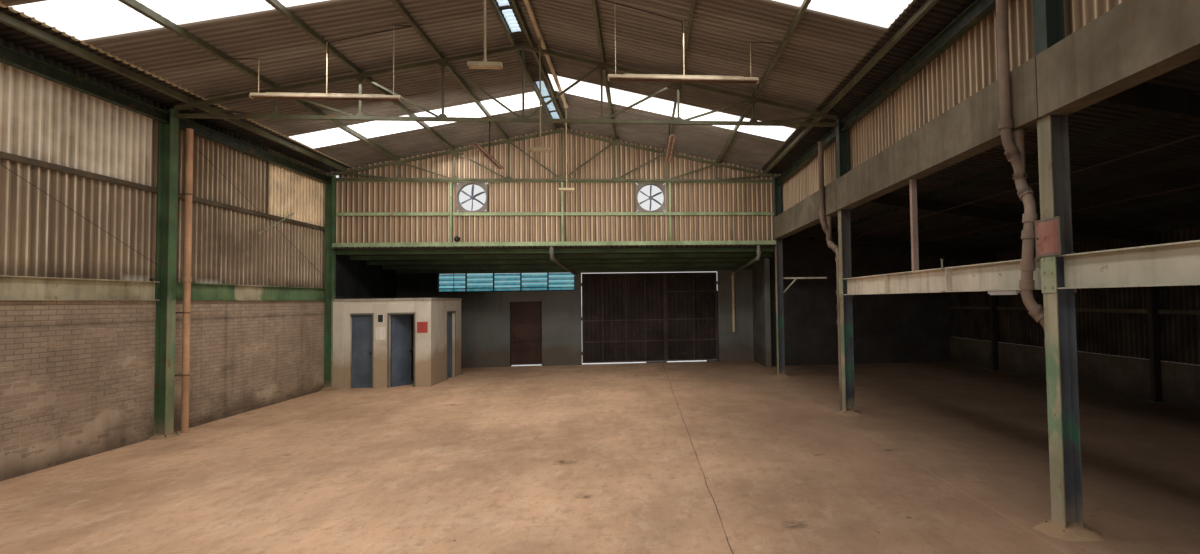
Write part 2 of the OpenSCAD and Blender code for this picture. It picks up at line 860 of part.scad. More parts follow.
module annex_strip(x0, x1, y0, y1) {
    along_x(x0, x1) polygon([
        [y0, annex_z(y0)],
        [y1, annex_z(y1)],
        [y1, annex_z(y1) - annex_sheet],
        [y0, annex_z(y0) - annex_sheet]]);
}

// Sheets of the annex roof, cut round the gable's corner columns and the aisle's back wall
module annex_roof() {
    z = [annex_z(annex_eave) - gutter_h, annex_z(annex_front) + gutter_h];
    y0 = annex_front - lap;
    color(sheet_brown) placed() difference() {
        annex_strip(-wall_out - annex_nose, aisle_in + wall_t + annex_nose, annex_front, annex_eave);
        box([-eave_x, -nave_half + lap], [y0, hall_len + col_d/2 + lap], z);
        box([-eave_x, -col_out + lap], [y0, back_face + lap], z);
        box([nave_half - lap, eave_x], [y0, hall_len + col_d/2 + lap], z);
        box([aisle_in - lap, eave_x], [y0, aisle_back + wall_t + lap], z);
    }
}

module louvre_window() {
    x1 = louvre_x + louvre_w;
    z1 = louvre_z + louvre_h;
    y = [annex_back + louvre_set, annex_back + louvre_set + louvre_d];
    pitch = louvre_h/louvre_slats;
    color("lightblue") placed() {
        box([louvre_x, x1], y, [louvre_z, louvre_z + louvre_bar]);
        box([louvre_x, x1], y, [z1 - louvre_bar, z1]);
        for (i = [0:louvre_panels]) {
            x = louvre_x + i*(louvre_w - louvre_bar)/louvre_panels;
            box([x, x + louvre_bar], y, [louvre_z, z1]);
        }
        for (i = [0:louvre_slats - 1])
            translate([0, y[0] + louvre_d/2, louvre_z + (i + 0.5)*pitch])
                along_x(louvre_x, x1) rotate(slat_angle) square([slat_w, slat_t], center = true);
    }
}

module toilet_piers() {
    y = [toilet_front, toilet_front + toilet_t];
    x = [toilet_x - toilet_t, toilet_x];
    c0 = toilet_front + toilet_c_y;
    color(annex_grey) placed() {
        box([-nave_half, toilet_a_x], y, [0, toilet_h]);
        box([toilet_a_x + toilet_a_w, toilet_b_x], y, [0, toilet_h]);
        box([toilet_b_x + toilet_b_w, toilet_x], y, [0, toilet_h]);
        box(x, [toilet_front + toilet_t, c0], [0, toilet_h]);
        box(x, [c0 + toilet_c_w, toilet_front + toilet_d], [0, toilet_h]);
        box([-nave_half, -nave_half + rough_pier_w], [toilet_front - rough_pier_t, toilet_front],
            [0, toilet_h]);
    }
}

module toilet_back_wall() {
    y1 = toilet_front + toilet_d;
    color(annex_grey) placed()
        box([-col_out, toilet_x - toilet_t], [y1 - toilet_t, y1], [0, toilet_h]);
}

module toilet_roof() {
    z = [toilet_h, toilet_h + toilet_roof_t];
    y1 = toilet_front + toilet_d;
    color(annex_grey) placed() {
        box([-nave_half, toilet_x + toilet_nose], [toilet_front - toilet_nose, y1], z);
        box([-col_out, -nave_half + lap], [hall_len + col_d/2, y1], z);
    }
}

// Square frame with a round hole, and the spider that carries the motor
module fan_ring() {
    rotate([-90, 0, 0]) difference() {
        translate([0, 0, fan_depth/2]) cube([fan_frame, fan_frame, fan_depth], center = true);
        translate([0, 0, -lap]) cylinder(d = fan_bore, h = fan_depth + 2*lap, $fn = 64);
    }
    for (a = [0, 120, 240])
        rotate([0, a, 0]) box([spider_root, fan_bore/2 + lap], [fan_depth - 2*spider_w, fan_depth - spider_w],
            [-spider_w/2, spider_w/2]);
    translate([0, fan_depth - motor_l, 0]) rotate([-90, 0, 0]) cylinder(d = hub_d, h = motor_l, $fn = 32);
}

module fan_frames() {
    color("silver") placed()
        for (side = [-1, 1]) translate([side*fan_x, fan_y0, fan_z]) fan_ring();
}

module fan_rotor() {
    tip = sqrt(pow(fan_bore/2 - fan_gap, 2) - pow(blade_w/2, 2));
    shaft_end = fan_depth - motor_l - (fan_rotor_y - fan_y0) - seat_gap;
    rotate([-90, 0, 0]) {
        translate([0, 0, -hub_l/2]) cylinder(d = hub_d, h = hub_l, $fn = 32);
        cylinder(d = shaft_d, h = shaft_end, $fn = 32);
    }
    for (i = [0:blades - 1])
        rotate([0, i*360/blades, 0])
            rotate([0, 0, blade_angle])
                box([-blade_w/2, blade_w/2], [-blade_t/2, blade_t/2], [blade_root, tip]);
}

module fan_left() { color("lightsteelblue") placed() translate([-fan_x, fan_rotor_y, fan_z]) fan_rotor(); }
module fan_right() { color("lightsteelblue") placed() translate([fan_x, fan_rotor_y, fan_z]) fan_rotor(); }

// Hinge knuckles round an upright axis
module knuckles(r, z1) {
    for (f = hinge_shares)
        translate([0, 0, f*z1 - knuckle_l/2]) cylinder(r = r, h = knuckle_l, $fn = 24);
}

// Steel leaf with a frame behind it, drawn from its hinge axis, its outer face on y = 0
module steel_leaf(w, z1, r) {
    box([0, w], [-gate_t/2, 0], [door_foot_gap, z1]);
    for (x = [0, w - leaf_rail]) box([x, x + leaf_rail], [-gate_t, -gate_t/2], [door_foot_gap, z1]);
    for (z = [door_foot_gap, (door_foot_gap + z1)/4, z1 - leaf_rail])
        box([0, w], [-gate_t, -gate_t/2], [z, z + leaf_rail]);
    knuckles(r, z1);
}

module gate_left() {
    color("dimgray") placed()
        translate([gate_x + door_gap, annex_back + wall_t, 0])
            steel_leaf(gate_split - door_gap - meet_gap/2, gate_h - door_gap, door_gap - seat_gap);
}

module gate_right() {
    color("dimgray") placed()
        translate([gate_x + gate_w - door_gap, annex_back + wall_t, 0]) mirror([1, 0, 0])
            steel_leaf(gate_w - gate_split - door_gap - meet_gap/2, gate_h - door_gap, door_gap - seat_gap);
}

module back_door() {
    gap = door_gap/2;
    color("saddlebrown") placed()
        translate([back_door_x + gap, annex_back + wall_t, 0])
            steel_leaf(back_door_w - 2*gap, back_door_h - gap, gap - seat_gap);
}

// Flat leaf drawn from its hinge axis, its inner face on y = 0
module toilet_leaf(w) {
    box([0, w - leaf_pin_r - seat_gap - leaf_gap], [-leaf_t, 0], [leaf_gap, toilet_door_h - leaf_gap]);
    knuckles(leaf_pin_r, toilet_door_h);
}

module toilet_door_left() {
    color("lightslategray") placed()
        translate([toilet_a_x + leaf_pin_r + seat_gap, toilet_front + toilet_t, 0]) toilet_leaf(toilet_a_w);
}

module toilet_door_right() {
    color("lightslategray") placed()
        translate([toilet_b_x + leaf_pin_r + seat_gap, toilet_front + toilet_t, 0])
            rotate(leaf_b_open) toilet_leaf(toilet_b_w);
}

module toilet_side_door() {
    color("lightslategray") placed()
        translate([toilet_x - toilet_t,
            toilet_front + toilet_c_y + toilet_c_w - leaf_pin_r - seat_gap, 0])
            rotate(-90 - leaf_c_open) mirror([0, 1, 0]) toilet_leaf(toilet_c_w);
}

// Round bar between two points
module rod(a, b, d) {
    v = b - a;
    translate(a) rotate([0, acos(v[2]/norm(v)), atan2(v[1], v[0])])
        cylinder(d = d, h = norm(v), $fn = 32);
}

// Pipe through a list of points, with a round fitting at each bend
module pipe_run(points, d) {
    for (i = [0:len(points) - 2]) rod(points[i], points[i + 1], d);
    for (i = [1:len(points) - 2]) translate(points[i]) sphere(d = d + elbow_r, $fn = 32);
}

// Rainwater pipe that bends in under the plain band, joins the aisle's pipe and goes on to the
// column: beside the middle beam and into the column's hollow, or straight down behind the column
module right_pipe(y, behind, last) {
    face = nave_half - band_t - pipe_d/2 - elbow_r/2 - seat_gap;
    in_x = nave_half + pipe_in;
    tee_z = band_z - tee_drop;
    out_x = last ? in_x : nave_half + flange_t - pipe_d/2 - elbow_r/2 - seat_gap;
    out_y = y + col_d/2 + (last ? pipe_d/2 + 2*elbow_r : pipe_reach);
    bow = last ? 0 : swan_in;
    end_x = last ? in_x : nave_half + col_d/2;
    end_y = last ? out_y : y + col_d/2 + pipe_in;
    pipe_run([
        [face, y + behind, chord_h - eave_beam_h + eave_rise - seat_gap],
        [face, y + behind, band_z - bend_drop],
        [in_x, y + behind, tee_z],
        [in_x, y + behind, tee_z - tee_l],
        [in_x, out_y - bow, band_z - swan_drop],
        [out_x, out_y - 2*bow, mid_beam_z + mid_beam_h + swan_lift],
        [out_x, out_y, mid_beam_z - bend_drop],
        [end_x, end_y, mid_beam_z - foot_drop],
        [end_x, end_y, 0]], pipe_d);
    rod([in_x, y + behind, tee_z], [in_x, y + behind, band_z - seat_gap], pipe_d);
}

module downpipes() {
    left_top = chord_h - eave_beam_h + eave_rise - seat_gap;
    drain_y = annex_front - drain_d/2 - seat_gap;
    wall_y = annex_back - drain_d/2 - elbow_r/2 - seat_gap;
    drain_top = gable_beam_z - annex_sheet;
    left_x = gate_x - gate_pier_w - drain_d;
    right_x = gate_x + gate_w + drain_right_gap;
    color("peru") placed() {
        for (i = [1:last_frame - 1]) {
            left_y = frame_y(i) + left_pipe_y;
            left_x = -nave_half + pipe_d/2 - left_pipe_in;
            rod([left_x, left_y, 0], [left_x, left_y, left_top], pipe_d);
            last = i == last_frame - 1;
            right_pipe(frame_y(i), last ? last_pipe_y : right_pipe_y, last);
        }
        pipe_run([
            [left_x, drain_y, drain_top],
            [left_x, drain_y, drain_top - drain_bend_left],
            [left_x + drain_shift, annex_back - drain_end_gap, drain_top - drain_fall]], drain_d);
        pipe_run([
            [right_x, drain_y, drain_top],
            [right_x, drain_y, drain_top - drain_bend_right],
            [right_x, wall_y, drain_top - drain_fall],
            [right_x, wall_y, drain_foot_z]], drain_d);
    }
}

// Long lamps on rods, small lamps on stems from a conduit, and twin-tube lamps under a truss
module lamps() {
    conduit_z = chord_z(pendant_x) + purlin_seat + (conduit_d/2 + seat_gap)/cos(roof_pitch);
    y_end = hall_len - pendant_last;
    color("wheat") placed() {
        for (side = [-1, 1], i = [0:last_frame - 2]) {
            y = frame_y(i) + lamp_y + slope_y(side);
            box([side*lamp_x - lamp_l/2, side*lamp_x + lamp_l/2], [y - lamp_w/2, y + lamp_w/2],
                [lamp_z, lamp_z + lamp_h]);
            for (d = [-1, 0, 1]) {
                x = side*lamp_x + d*lamp_l*rod_share;
                box([x - rod_s/2, x + rod_s/2], [y - rod_s/2, y + rod_s/2],
                    [lamp_z + lamp_h - lap, chord_z(abs(x) + rod_s/2) + sheet_seat - seat_gap]);
            }
        }
        rod([pendant_x, y_end - (pendants_n - 1)*pendant_step - pendant_w, conduit_z],
            [pendant_x, y_end + pendant_d/2, conduit_z], conduit_d);
        for (k = [0:pendants_n - 1]) {
            y = y_end - k*pendant_step;
            rod([pendant_x, y, pendant_z + pendant_h - lap], [pendant_x, y, conduit_z], stem_d);
            box([pendant_x - pendant_w/2, pendant_x + pendant_w/2], [y - pendant_d/2, y + pendant_d/2],
                [pendant_z, pendant_z + pendant_h]);
        }
        for (place = [[-twin_left_x, twin_left_z], [twin_right_x, twin_right_z]]) {
            y = frame_y(last_frame - 1);
            box([place[0] - twin_w/2, place[0] + twin_w/2], [y - twin_l/2, y + twin_l/2],
                [place[1], place[1] + twin_h]);
            rod([place[0], y, place[1] + twin_h - lap],
                [place[0], y, chord_h - chord_s/2 - seat_gap], stem_d);
        }
    }
}

// Blank plates on the toilet block's front, and the lid of a rusty box on a column
module wall_plates() {
    y = [toilet_front - plate_t, toilet_front];
    mid_a = (toilet_a_x + toilet_a_w + toilet_b_x)/2;
    mid_c = (toilet_b_x + toilet_b_w + toilet_x)/2;
    plate_a_z = plate_b_z + plate_b_h + plate_step;
    lid_y = frame_y(last_frame - 2) - lid_t;
    lid_z = mid_beam_z + mid_beam_h;
    color("firebrick") placed() {
        box([mid_a - plate_a_w/2, mid_a + plate_a_w/2], y, [plate_a_z, plate_a_z + plate_a_h]);
        box([mid_a - plate_b_w/2, mid_a + plate_b_w/2], y, [plate_b_z, plate_b_z + plate_b_h]);
        box([mid_c - plate_c_w/2, mid_c + plate_c_w/2], y, [plate_a_z - plate_c_w - lid_t, plate_a_z]);
        box([nave_half - lid_t, nave_half], [lid_y - box_lid/2, lid_y + box_lid/2],
            [lid_z, lid_z + box_lid]);
    }
}

floor_slab();
side_block_walls();
front_block_wall();
left_columns();
right_columns();
aisle_posts();
side_beams();
left_cladding();
right_cladding();
front_cladding();
wall_girts();
gable_cladding();
gable_cladding_mid();
gable_frame();
roof_trusses();
roof_purlins();
lean_to_purlins();
roof_sheets();
skylights();
eave_gutters();
fascia_band();
mid_beams();
aisle_roof();
aisle_rafters();
aisle_back_wall();
annex_wall_piers();
annex_walls();
lintels();
annex_roof();
louvre_window();
toilet_piers();
toilet_back_wall();
toilet_roof();
fan_frames();
fan_left();
fan_right();
gate_left();
gate_right();
back_door();
toilet_door_left();
toilet_door_right();
toilet_side_door();
downpipes();
lamps();
wall_plates();
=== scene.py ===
import bmesh
import bpy
import json
import math
import random
from itertools import product
from mathutils import Matrix, Vector, noise
from mathutils.bvhtree import BVHTree


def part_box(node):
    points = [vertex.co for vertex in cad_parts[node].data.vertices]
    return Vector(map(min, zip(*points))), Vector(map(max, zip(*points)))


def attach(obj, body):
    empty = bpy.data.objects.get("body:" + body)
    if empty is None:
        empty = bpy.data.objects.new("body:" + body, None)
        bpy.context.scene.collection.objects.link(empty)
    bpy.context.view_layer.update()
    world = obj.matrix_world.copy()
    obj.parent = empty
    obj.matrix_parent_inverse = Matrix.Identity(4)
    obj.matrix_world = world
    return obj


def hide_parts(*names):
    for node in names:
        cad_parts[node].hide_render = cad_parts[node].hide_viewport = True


# Factory building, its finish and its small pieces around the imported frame. Lengths are in metres.
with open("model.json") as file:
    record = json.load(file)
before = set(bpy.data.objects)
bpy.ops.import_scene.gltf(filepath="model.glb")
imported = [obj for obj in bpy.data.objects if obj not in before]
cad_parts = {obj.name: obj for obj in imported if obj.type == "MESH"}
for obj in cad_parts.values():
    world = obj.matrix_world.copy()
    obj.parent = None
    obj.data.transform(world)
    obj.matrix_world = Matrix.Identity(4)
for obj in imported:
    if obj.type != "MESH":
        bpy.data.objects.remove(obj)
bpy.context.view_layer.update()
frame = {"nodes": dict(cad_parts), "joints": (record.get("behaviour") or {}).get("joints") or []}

X, Y, Z = Vector((1, 0, 0)), Vector((0, 1, 0)), Vector((0, 0, 1))
FLOOR_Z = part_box("floor_slab")[1][2]
TRUSS_LO, TRUSS_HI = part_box("roof_trusses")
RIDGE_X = (TRUSS_LO[0] + TRUSS_HI[0]) / 2
NAVE_HALF = (TRUSS_HI[0] - TRUSS_LO[0]) / 2
CHORD = 0.07
FRONT_Y = TRUSS_LO[1] + CHORD / 2
HALL_LEN = TRUSS_HI[1] - TRUSS_LO[1] - CHORD

RIB_PITCH = 0.15
RIB_PROFILE = [(0.0, 0.0), (0.53, 0.0), (0.58, 0.1), (0.68, 0.9), (0.72, 1.0), (0.85, 1.0),
               (0.89, 0.9), (0.98, 0.1)]
SHEET_T = 0.002
TRUSS_SEAT = 0.235
MORTAR_SET = 0.006
BRICK = (0.24, 0.07)
JOINT = 0.01
FAR = 20.0
RIBS_A_SHEET = 6
FLOOR_CRACK_X = RIDGE_X + 3.12
FLOOR_JOINT_X = RIDGE_X + 6.2
WALL_LO, WALL_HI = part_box("left_cladding")
SHEET_DEPTH = WALL_HI[0] - WALL_LO[0]
RIB_START = WALL_LO[1]


def at(x, y, z):
    """A place given from the ridge line, the front frame and the floor."""
    return Vector((RIDGE_X + x, FRONT_Y + y, FLOOR_Z + z))


def hexa(code):
    """A colour written as #RRGGBB, as the linear value that the shader takes."""
    parts = [int(code[i:i + 2], 16) / 255 for i in (1, 3, 5)]
    linear = [c / 12.92 if c <= 0.04045 else ((c + 0.055) / 1.055) ** 2.4 for c in parts]
    return (*linear, 1.0)


# Reading the frame

def node_mesh(name):
    """The CAD node's corners and faces."""
    obj = frame["nodes"][name]
    corners = [obj.matrix_world @ v.co for v in obj.data.vertices]
    return corners, [tuple(p.vertices) for p in obj.data.polygons]


def solids(name):
    """Lowest and highest corner of each solid of a CAD node."""
    corners, faces = node_mesh(name)
    leader = {}

    def find(key):
        while leader.setdefault(key, key) != key:
            key = leader[key]
        return key

    keys = [tuple(round(c, 4) for c in v) for v in corners]
    for face in faces:
        for other in face[1:]:
            leader[find(keys[other])] = find(keys[face[0]])
    groups = {}
    for key in keys:
        groups.setdefault(find(key), []).append(key)
    boxes = []
    for group in groups.values():
        low = Vector([min(v[i] for v in group) for i in range(3)])
        high = Vector([max(v[i] for v in group) for i in range(3)])
        boxes.append((low, high))
    return sorted(boxes, key=lambda b: tuple(b[0]))


def spans(trees, start, direction, reach):
    """The stretches of a straight line that lie in the solids, with stretches that touch joined."""
    pairs = []
    for tree in trees:
        hits, t = [], 0.0
        while True:
            spot = tree.ray_cast(start + direction * t, direction, reach - t)
            if spot[0] is None:
                break
            t += spot[3]
            hits.append(t)
            t += 1e-4
        pairs += [[hits[i], hits[i + 1]] for i in range(0, len(hits) - 1, 2)]
    joined = []
    for pair in sorted(pairs):
        if joined and pair[0] - joined[-1][1] < 0.006:
            joined[-1][1] = pair[1]
        else:
            joined.append(pair)
    return joined


# Making pieces

SQUARE = ((0, 0), (1, 0), (1, 1), (0, 1))
FINISHES = {}


def ring_turns(sides, ahead=0.0):
    """The angles of a ring's corners."""
    return [2 * math.pi * (k + ahead) / sides for k in range(sides)]


def band_faces(rings, sides, closed=False):
    """Faces that join each ring of corners to the next, and the last to the first if closed."""
    faces = []
    for ring in range(rings if closed else rings - 1):
        a, b = ring * sides, (ring + 1) % rings * sides
        faces += [(a + k, a + (k + 1) % sides, b + (k + 1) % sides, b + k) for k in range(sides)]
    return faces


class Shape:
    """Corners and faces of one piece, with a material number for each face."""

    def __init__(self):
        self.corners, self.faces, self.slots = [], [], []

    def add(self, corners, faces, slot=0, place=None):
        first = len(self.corners)
        self.corners += [place @ Vector(c) if place else Vector(c) for c in corners]
        self.faces += [tuple(first + i for i in face) for face in faces]
        self.slots += [slot] * len(faces)

    def block(self, low, high, edge=0.002, slot=0, place=None):
        """A box whose edges and corners are cut off at 45 degrees."""
        edge = min(edge, 0.45 * min(high[i] - low[i] for i in range(3)))
        names, corners = {}, []
        for side in product((0, 1), repeat=3):
            for axis in range(3):
                names[side, axis] = len(corners)
                corners.append([(low[i], high[i])[side[i]] + (0 if i == axis else edge * (1 - 2 * side[i]))
                                for i in range(3)])
        faces = [[names[side, axis] for axis in range(3)] for side in product((0, 1), repeat=3)]
        for axis in range(3):
            a, b = [i for i in range(3) if i != axis]
            for u, v in SQUARE:
                near, far = ([0, 0, 0], [0, 0, 0])
                for side, end in ((near, 0), (far, 1)):
                    side[axis], side[a], side[b] = end, u, v
                near, far = tuple(near), tuple(far)
                faces.append([names[near, a], names[near, b], names[far, b], names[far, a]])
            for end in (0, 1):
                loop = [tuple(end if i == axis else (u if i == a else v) for i in range(3)) for u, v in SQUARE]
                faces.append([names[side, axis] for side in loop])
        self.add(corners, faces, slot, place)

    def bar(self, a, b, wide, high, edge=0.002, slot=0):
        """A straight bar of that width and height between two points."""
        a, b = Vector(a), Vector(b)
        along = (b - a).normalized()
        side = Z.cross(along)
        side = side.normalized() if side.length > 1e-6 else Y
        place = Matrix((along, side, along.cross(side))).transposed().to_4x4()
        place.translation = a
        self.block((0, -wide / 2, -high / 2), ((b - a).length, wide / 2, high / 2), edge, slot, place)

    def brick(self, run, ends, z, deep, edge=0.004):
        """A brick through a wall, with rounded edges on both of its faces. run is the wall's axis."""
        corners = []
        for depth, inset in ((deep[0], edge), (deep[0] + edge, 0), (deep[1] - edge, 0), (deep[1], edge)):
            for u, v in SQUARE:
                along = ends[u] + (inset if u == 0 else -inset)
                point = [along, depth] if run == 0 else [depth, along]
                corners.append((*point, z[v] + (inset if v == 0 else -inset)))
        self.add(corners, [(0, 1, 2, 3), (12, 13, 14, 15)] + band_faces(4, 4))

    def disc(self, centre, axis, radius, depth, sides=24, slot=0, bore=0.0):
        """A round plate from the centre along the axis, with a hole through it if bore is given."""
        centre, axis = Vector(centre), Vector(axis).normalized()
        side = axis.orthogonal().normalized()
        other = axis.cross(side)
        loops = [(radius, 0.0), (radius, depth)] + ([(bore, depth), (bore, 0.0)] if bore else [])
        corners = [centre + (side * math.cos(a) + other * math.sin(a)) * reach + axis * rise
                   for reach, rise in loops for a in ring_turns(sides)]
        faces = band_faces(len(loops), sides, closed=bool(bore))
        if not bore:
            faces += [tuple(range(sides)), tuple(range(sides, 2 * sides))]
        self.add(corners, faces, slot)

    def tube(self, points, radius, sides=12, slot=0):
        """A round bar along a list of points; radius is one number or one for each point."""
        points = [Vector(p) for p in points]
        radii = radius if isinstance(radius, (list, tuple)) else [radius] * len(points)
        corners, side = [], None
        for i, point in enumerate(points):
            ahead = (points[min(i + 1, len(points) - 1)] - points[max(i - 1, 0)]).normalized()
            if side is None:
                side = ahead.orthogonal().normalized()
            side = (side - ahead * side.dot(ahead)).normalized()
            other = ahead.cross(side)
            corners += [point + (side * math.cos(a) + other * math.sin(a)) * radii[i]
                        for a in ring_turns(sides)]
        ends = [tuple(range(sides)), tuple(range(len(corners) - sides, len(corners)))]
        self.add(corners, band_faces(len(points), sides) + ends, slot)

    def prism(self, outline, step, slot=0):
        """A flat outline of points, carried by a vector."""
        n = len(outline)
        corners = [Vector(p) for p in outline] + [Vector(p) + Vector(step) for p in outline]
        self.add(corners, [tuple(range(n)), tuple(range(n, 2 * n))] + band_faces(2, n), slot)

    def piece(self, name, finishes, body="building", smooth=False, thick=0.0, replaces=(), slot=None):
        mesh = bpy.data.meshes.new(name)
        mesh.from_pydata([tuple(c) for c in self.corners], [], self.faces)
        for finish in finishes.split():
            mesh.materials.append(FINISHES[finish])
        for polygon, number in zip(mesh.polygons, self.slots):
            polygon.material_index = number
            polygon.use_smooth = smooth
        work = bmesh.new()
        work.from_mesh(mesh)
        bmesh.ops.remove_doubles(work, verts=work.verts, dist=1e-5)
        bmesh.ops.recalc_face_normals(work, faces=work.faces)
        work.to_mesh(mesh)
        work.free()
        obj = bpy.data.objects.new(name, mesh)
        bpy.context.collection.objects.link(obj)
        if smooth:
            mesh.set_sharp_from_angle(angle=math.radians(35))
        if thick:
            shell = obj.modifiers.new("thickness", "SOLIDIFY")
            shell.thickness = thick
            shell.offset = 0.0
        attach(obj, body)
        if replaces:
            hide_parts(*replaces)


# Finishes

DUST, RUST, GRIME = "#A8957C", "#7A4426", "#4A3D30"
EVEN = (1, 1, 1)
STRONG = 0.8


class Finish:
    """The node tree of one material; every place in it is the frame's own, in metres."""

    def __init__(self, name):
        self.material = FINISHES[name] = bpy.data.materials.new(name)
        self.material.use_nodes = True
        self.tree = self.material.node_tree
        self.shader = self.tree.nodes["Principled BSDF"]
        self.place = self.add("ShaderNodeTexCoord").outputs["Object"]
        self.xyz = self.add("ShaderNodeSeparateXYZ", {"Vector": self.place}).outputs

    def add(self, kind, inputs=None, **settings):
        node = self.tree.nodes.new(kind)
        for key, value in settings.items():
            setattr(node, key, value)
        for key, value in (inputs or {}).items():
            self.put(node.inputs[key], value)
        return node

    def put(self, socket, value):
        if isinstance(value, bpy.types.NodeSocket):
            self.tree.links.new(value, socket)
        else:
            socket.default_value = value

    def calc(self, operation, a, b=0.0):
        return self.add("ShaderNodeMath", {0: a, 1: b}, operation=operation).outputs[0]

    def off(self, value, centre):
        """How far a value is from a number."""
        return self.calc("ABSOLUTE", self.calc("SUBTRACT", value, centre))

    def noise(self, scale, detail=4.0, stretch=EVEN, rough=0.55, offset=(0, 0, 0)):
        """Noise of that many bumps a metre, stretched along an axis where its factor is small."""
        mapped = self.add("ShaderNodeMapping", {"Vector": self.place, "Scale": stretch, "Location": offset})
        return self.add("ShaderNodeTexNoise", {"Vector": mapped.outputs[0], "Scale": scale,
                                               "Detail": detail, "Roughness": rough}).outputs["Fac"]

    def spread(self, value, low, high, start=0.0, end=1.0):
        return self.add("ShaderNodeMapRange", {"Value": value, "From Min": low, "From Max": high,
                                               "To Min": start, "To Max": end}).outputs[0]

    def between(self, value, low, high, soft):
        """One inside two limits and nought outside, with soft rims."""
        return self.calc("MULTIPLY", self.spread(value, low - soft, low + soft),
                         self.spread(value, high - soft, high + soft, 1.0, 0.0))

    def drift(self, scale, detail, low, high):
        """A value that drifts between two numbers over the surface."""
        return self.spread(self.noise(scale, detail), 0.3, 0.7, low, high)

    def mix(self, share, a, b):
        return self.add("ShaderNodeMix", {0: share, 6: a, 7: b}, data_type="RGBA").outputs[2]

    def layers(self, tint, *rows):
        """Colours laid over the tint. Each row has the colour, its largest share, the two values of
        the noise that it grows between, and what noise() takes."""
        for colour, share, low, high, *how in rows:
            tint = self.mix(self.spread(self.noise(*how), low, high, 0.0, share), tint, hexa(colour))
        return tint

    def settle(self, tint, share):
        """Dust on what faces up."""
        return self.mix(self.spread(self.normal(2), 0.5, 0.95, 0.0, share), tint, hexa(DUST))

    def per_step(self, value, step):
        """A random number that stays the same over each step of the value."""
        number = self.calc("FLOOR", self.calc("DIVIDE", value, step))
        return self.add("ShaderNodeTexWhiteNoise", {"W": number}, noise_dimensions="1D").outputs["Value"]

    def ragged(self, share, least, *how):
        """A zone's share made uneven by noise, and nearly even where the zone is strong."""
        return self.spread(self.noise(*how), 0.35, 0.6, (least if share < STRONG else 0.9) * share, share)

    def zone(self, tint, colour, share, x=None, y=None, z=None, soft=0.08, faces=None):
        """The tint mixed with a colour inside a box of the building, with a soft rim, and where it
        is given only on the side that faces along that axis."""
        cover = share
        if faces:
            axis, sign = faces
            turned = self.calc("MULTIPLY", self.normal(axis), float(sign))
            cover = self.calc("MULTIPLY", cover, self.spread(turned, 0.2, 0.3))
        for axis, limits, shift in ((0, x, RIDGE_X), (1, y, FRONT_Y), (2, z, FLOOR_Z)):
            if limits:
                inside = self.between(self.xyz[axis], limits[0] + shift, limits[1] + shift, soft)
                cover = self.calc("MULTIPLY", cover, inside)
        return self.mix(cover, tint, hexa(colour))

    def normal(self, axis):
        normal = self.add("ShaderNodeNewGeometry").outputs["Normal"]
        return self.add("ShaderNodeSeparateXYZ", {"Vector": normal}).outputs[axis]

    def finish(self, colour, rough, height, depth, metal=0.0, specular=0.4):
        self.put(self.shader.inputs["Base Color"], colour)
        self.put(self.shader.inputs["Roughness"], rough)
        self.shader.inputs["Metallic"].default_value = metal
        self.shader.inputs["Specular IOR Level"].default_value = specular
        bump = self.add("ShaderNodeBump", {"Height": height, "Distance": depth, "Strength": 1.0})
        self.put(self.shader.inputs["Normal"], bump.outputs[0])


def painted(name, colour, shade, rust=0.0, dust=0.3, runs=0.3, rough=0.5, metal=0.0, fine=9.0, zones=()):
    """Old paint: cloudy, with dirt that ran down, rust in spots and dust on what faces up."""
    f = Finish(name)
    tint = f.layers(hexa(colour), (shade, 1.0, 0.36, 0.66, 1.3, 5), (shade, 0.35, 0.42, 0.72, fine, 6),
                    (GRIME, runs, 0.5, 0.74, 1.0, 6, (7, 7, 0.5)))
    if rust:
        tint = f.layers(tint, (RUST, 0.8, 0.68 - 0.16 * rust, 0.74 - 0.12 * rust, 5.5, 9, EVEN, 0.65))
    tint = f.settle(tint, dust)
    for zone_colour, share, box in zones:
        tint = f.zone(tint, zone_colour, share, **box)
    f.finish(tint, f.drift(6, 4, rough - 0.12, rough + 0.2), f.noise(70, 5), 0.0008, metal)


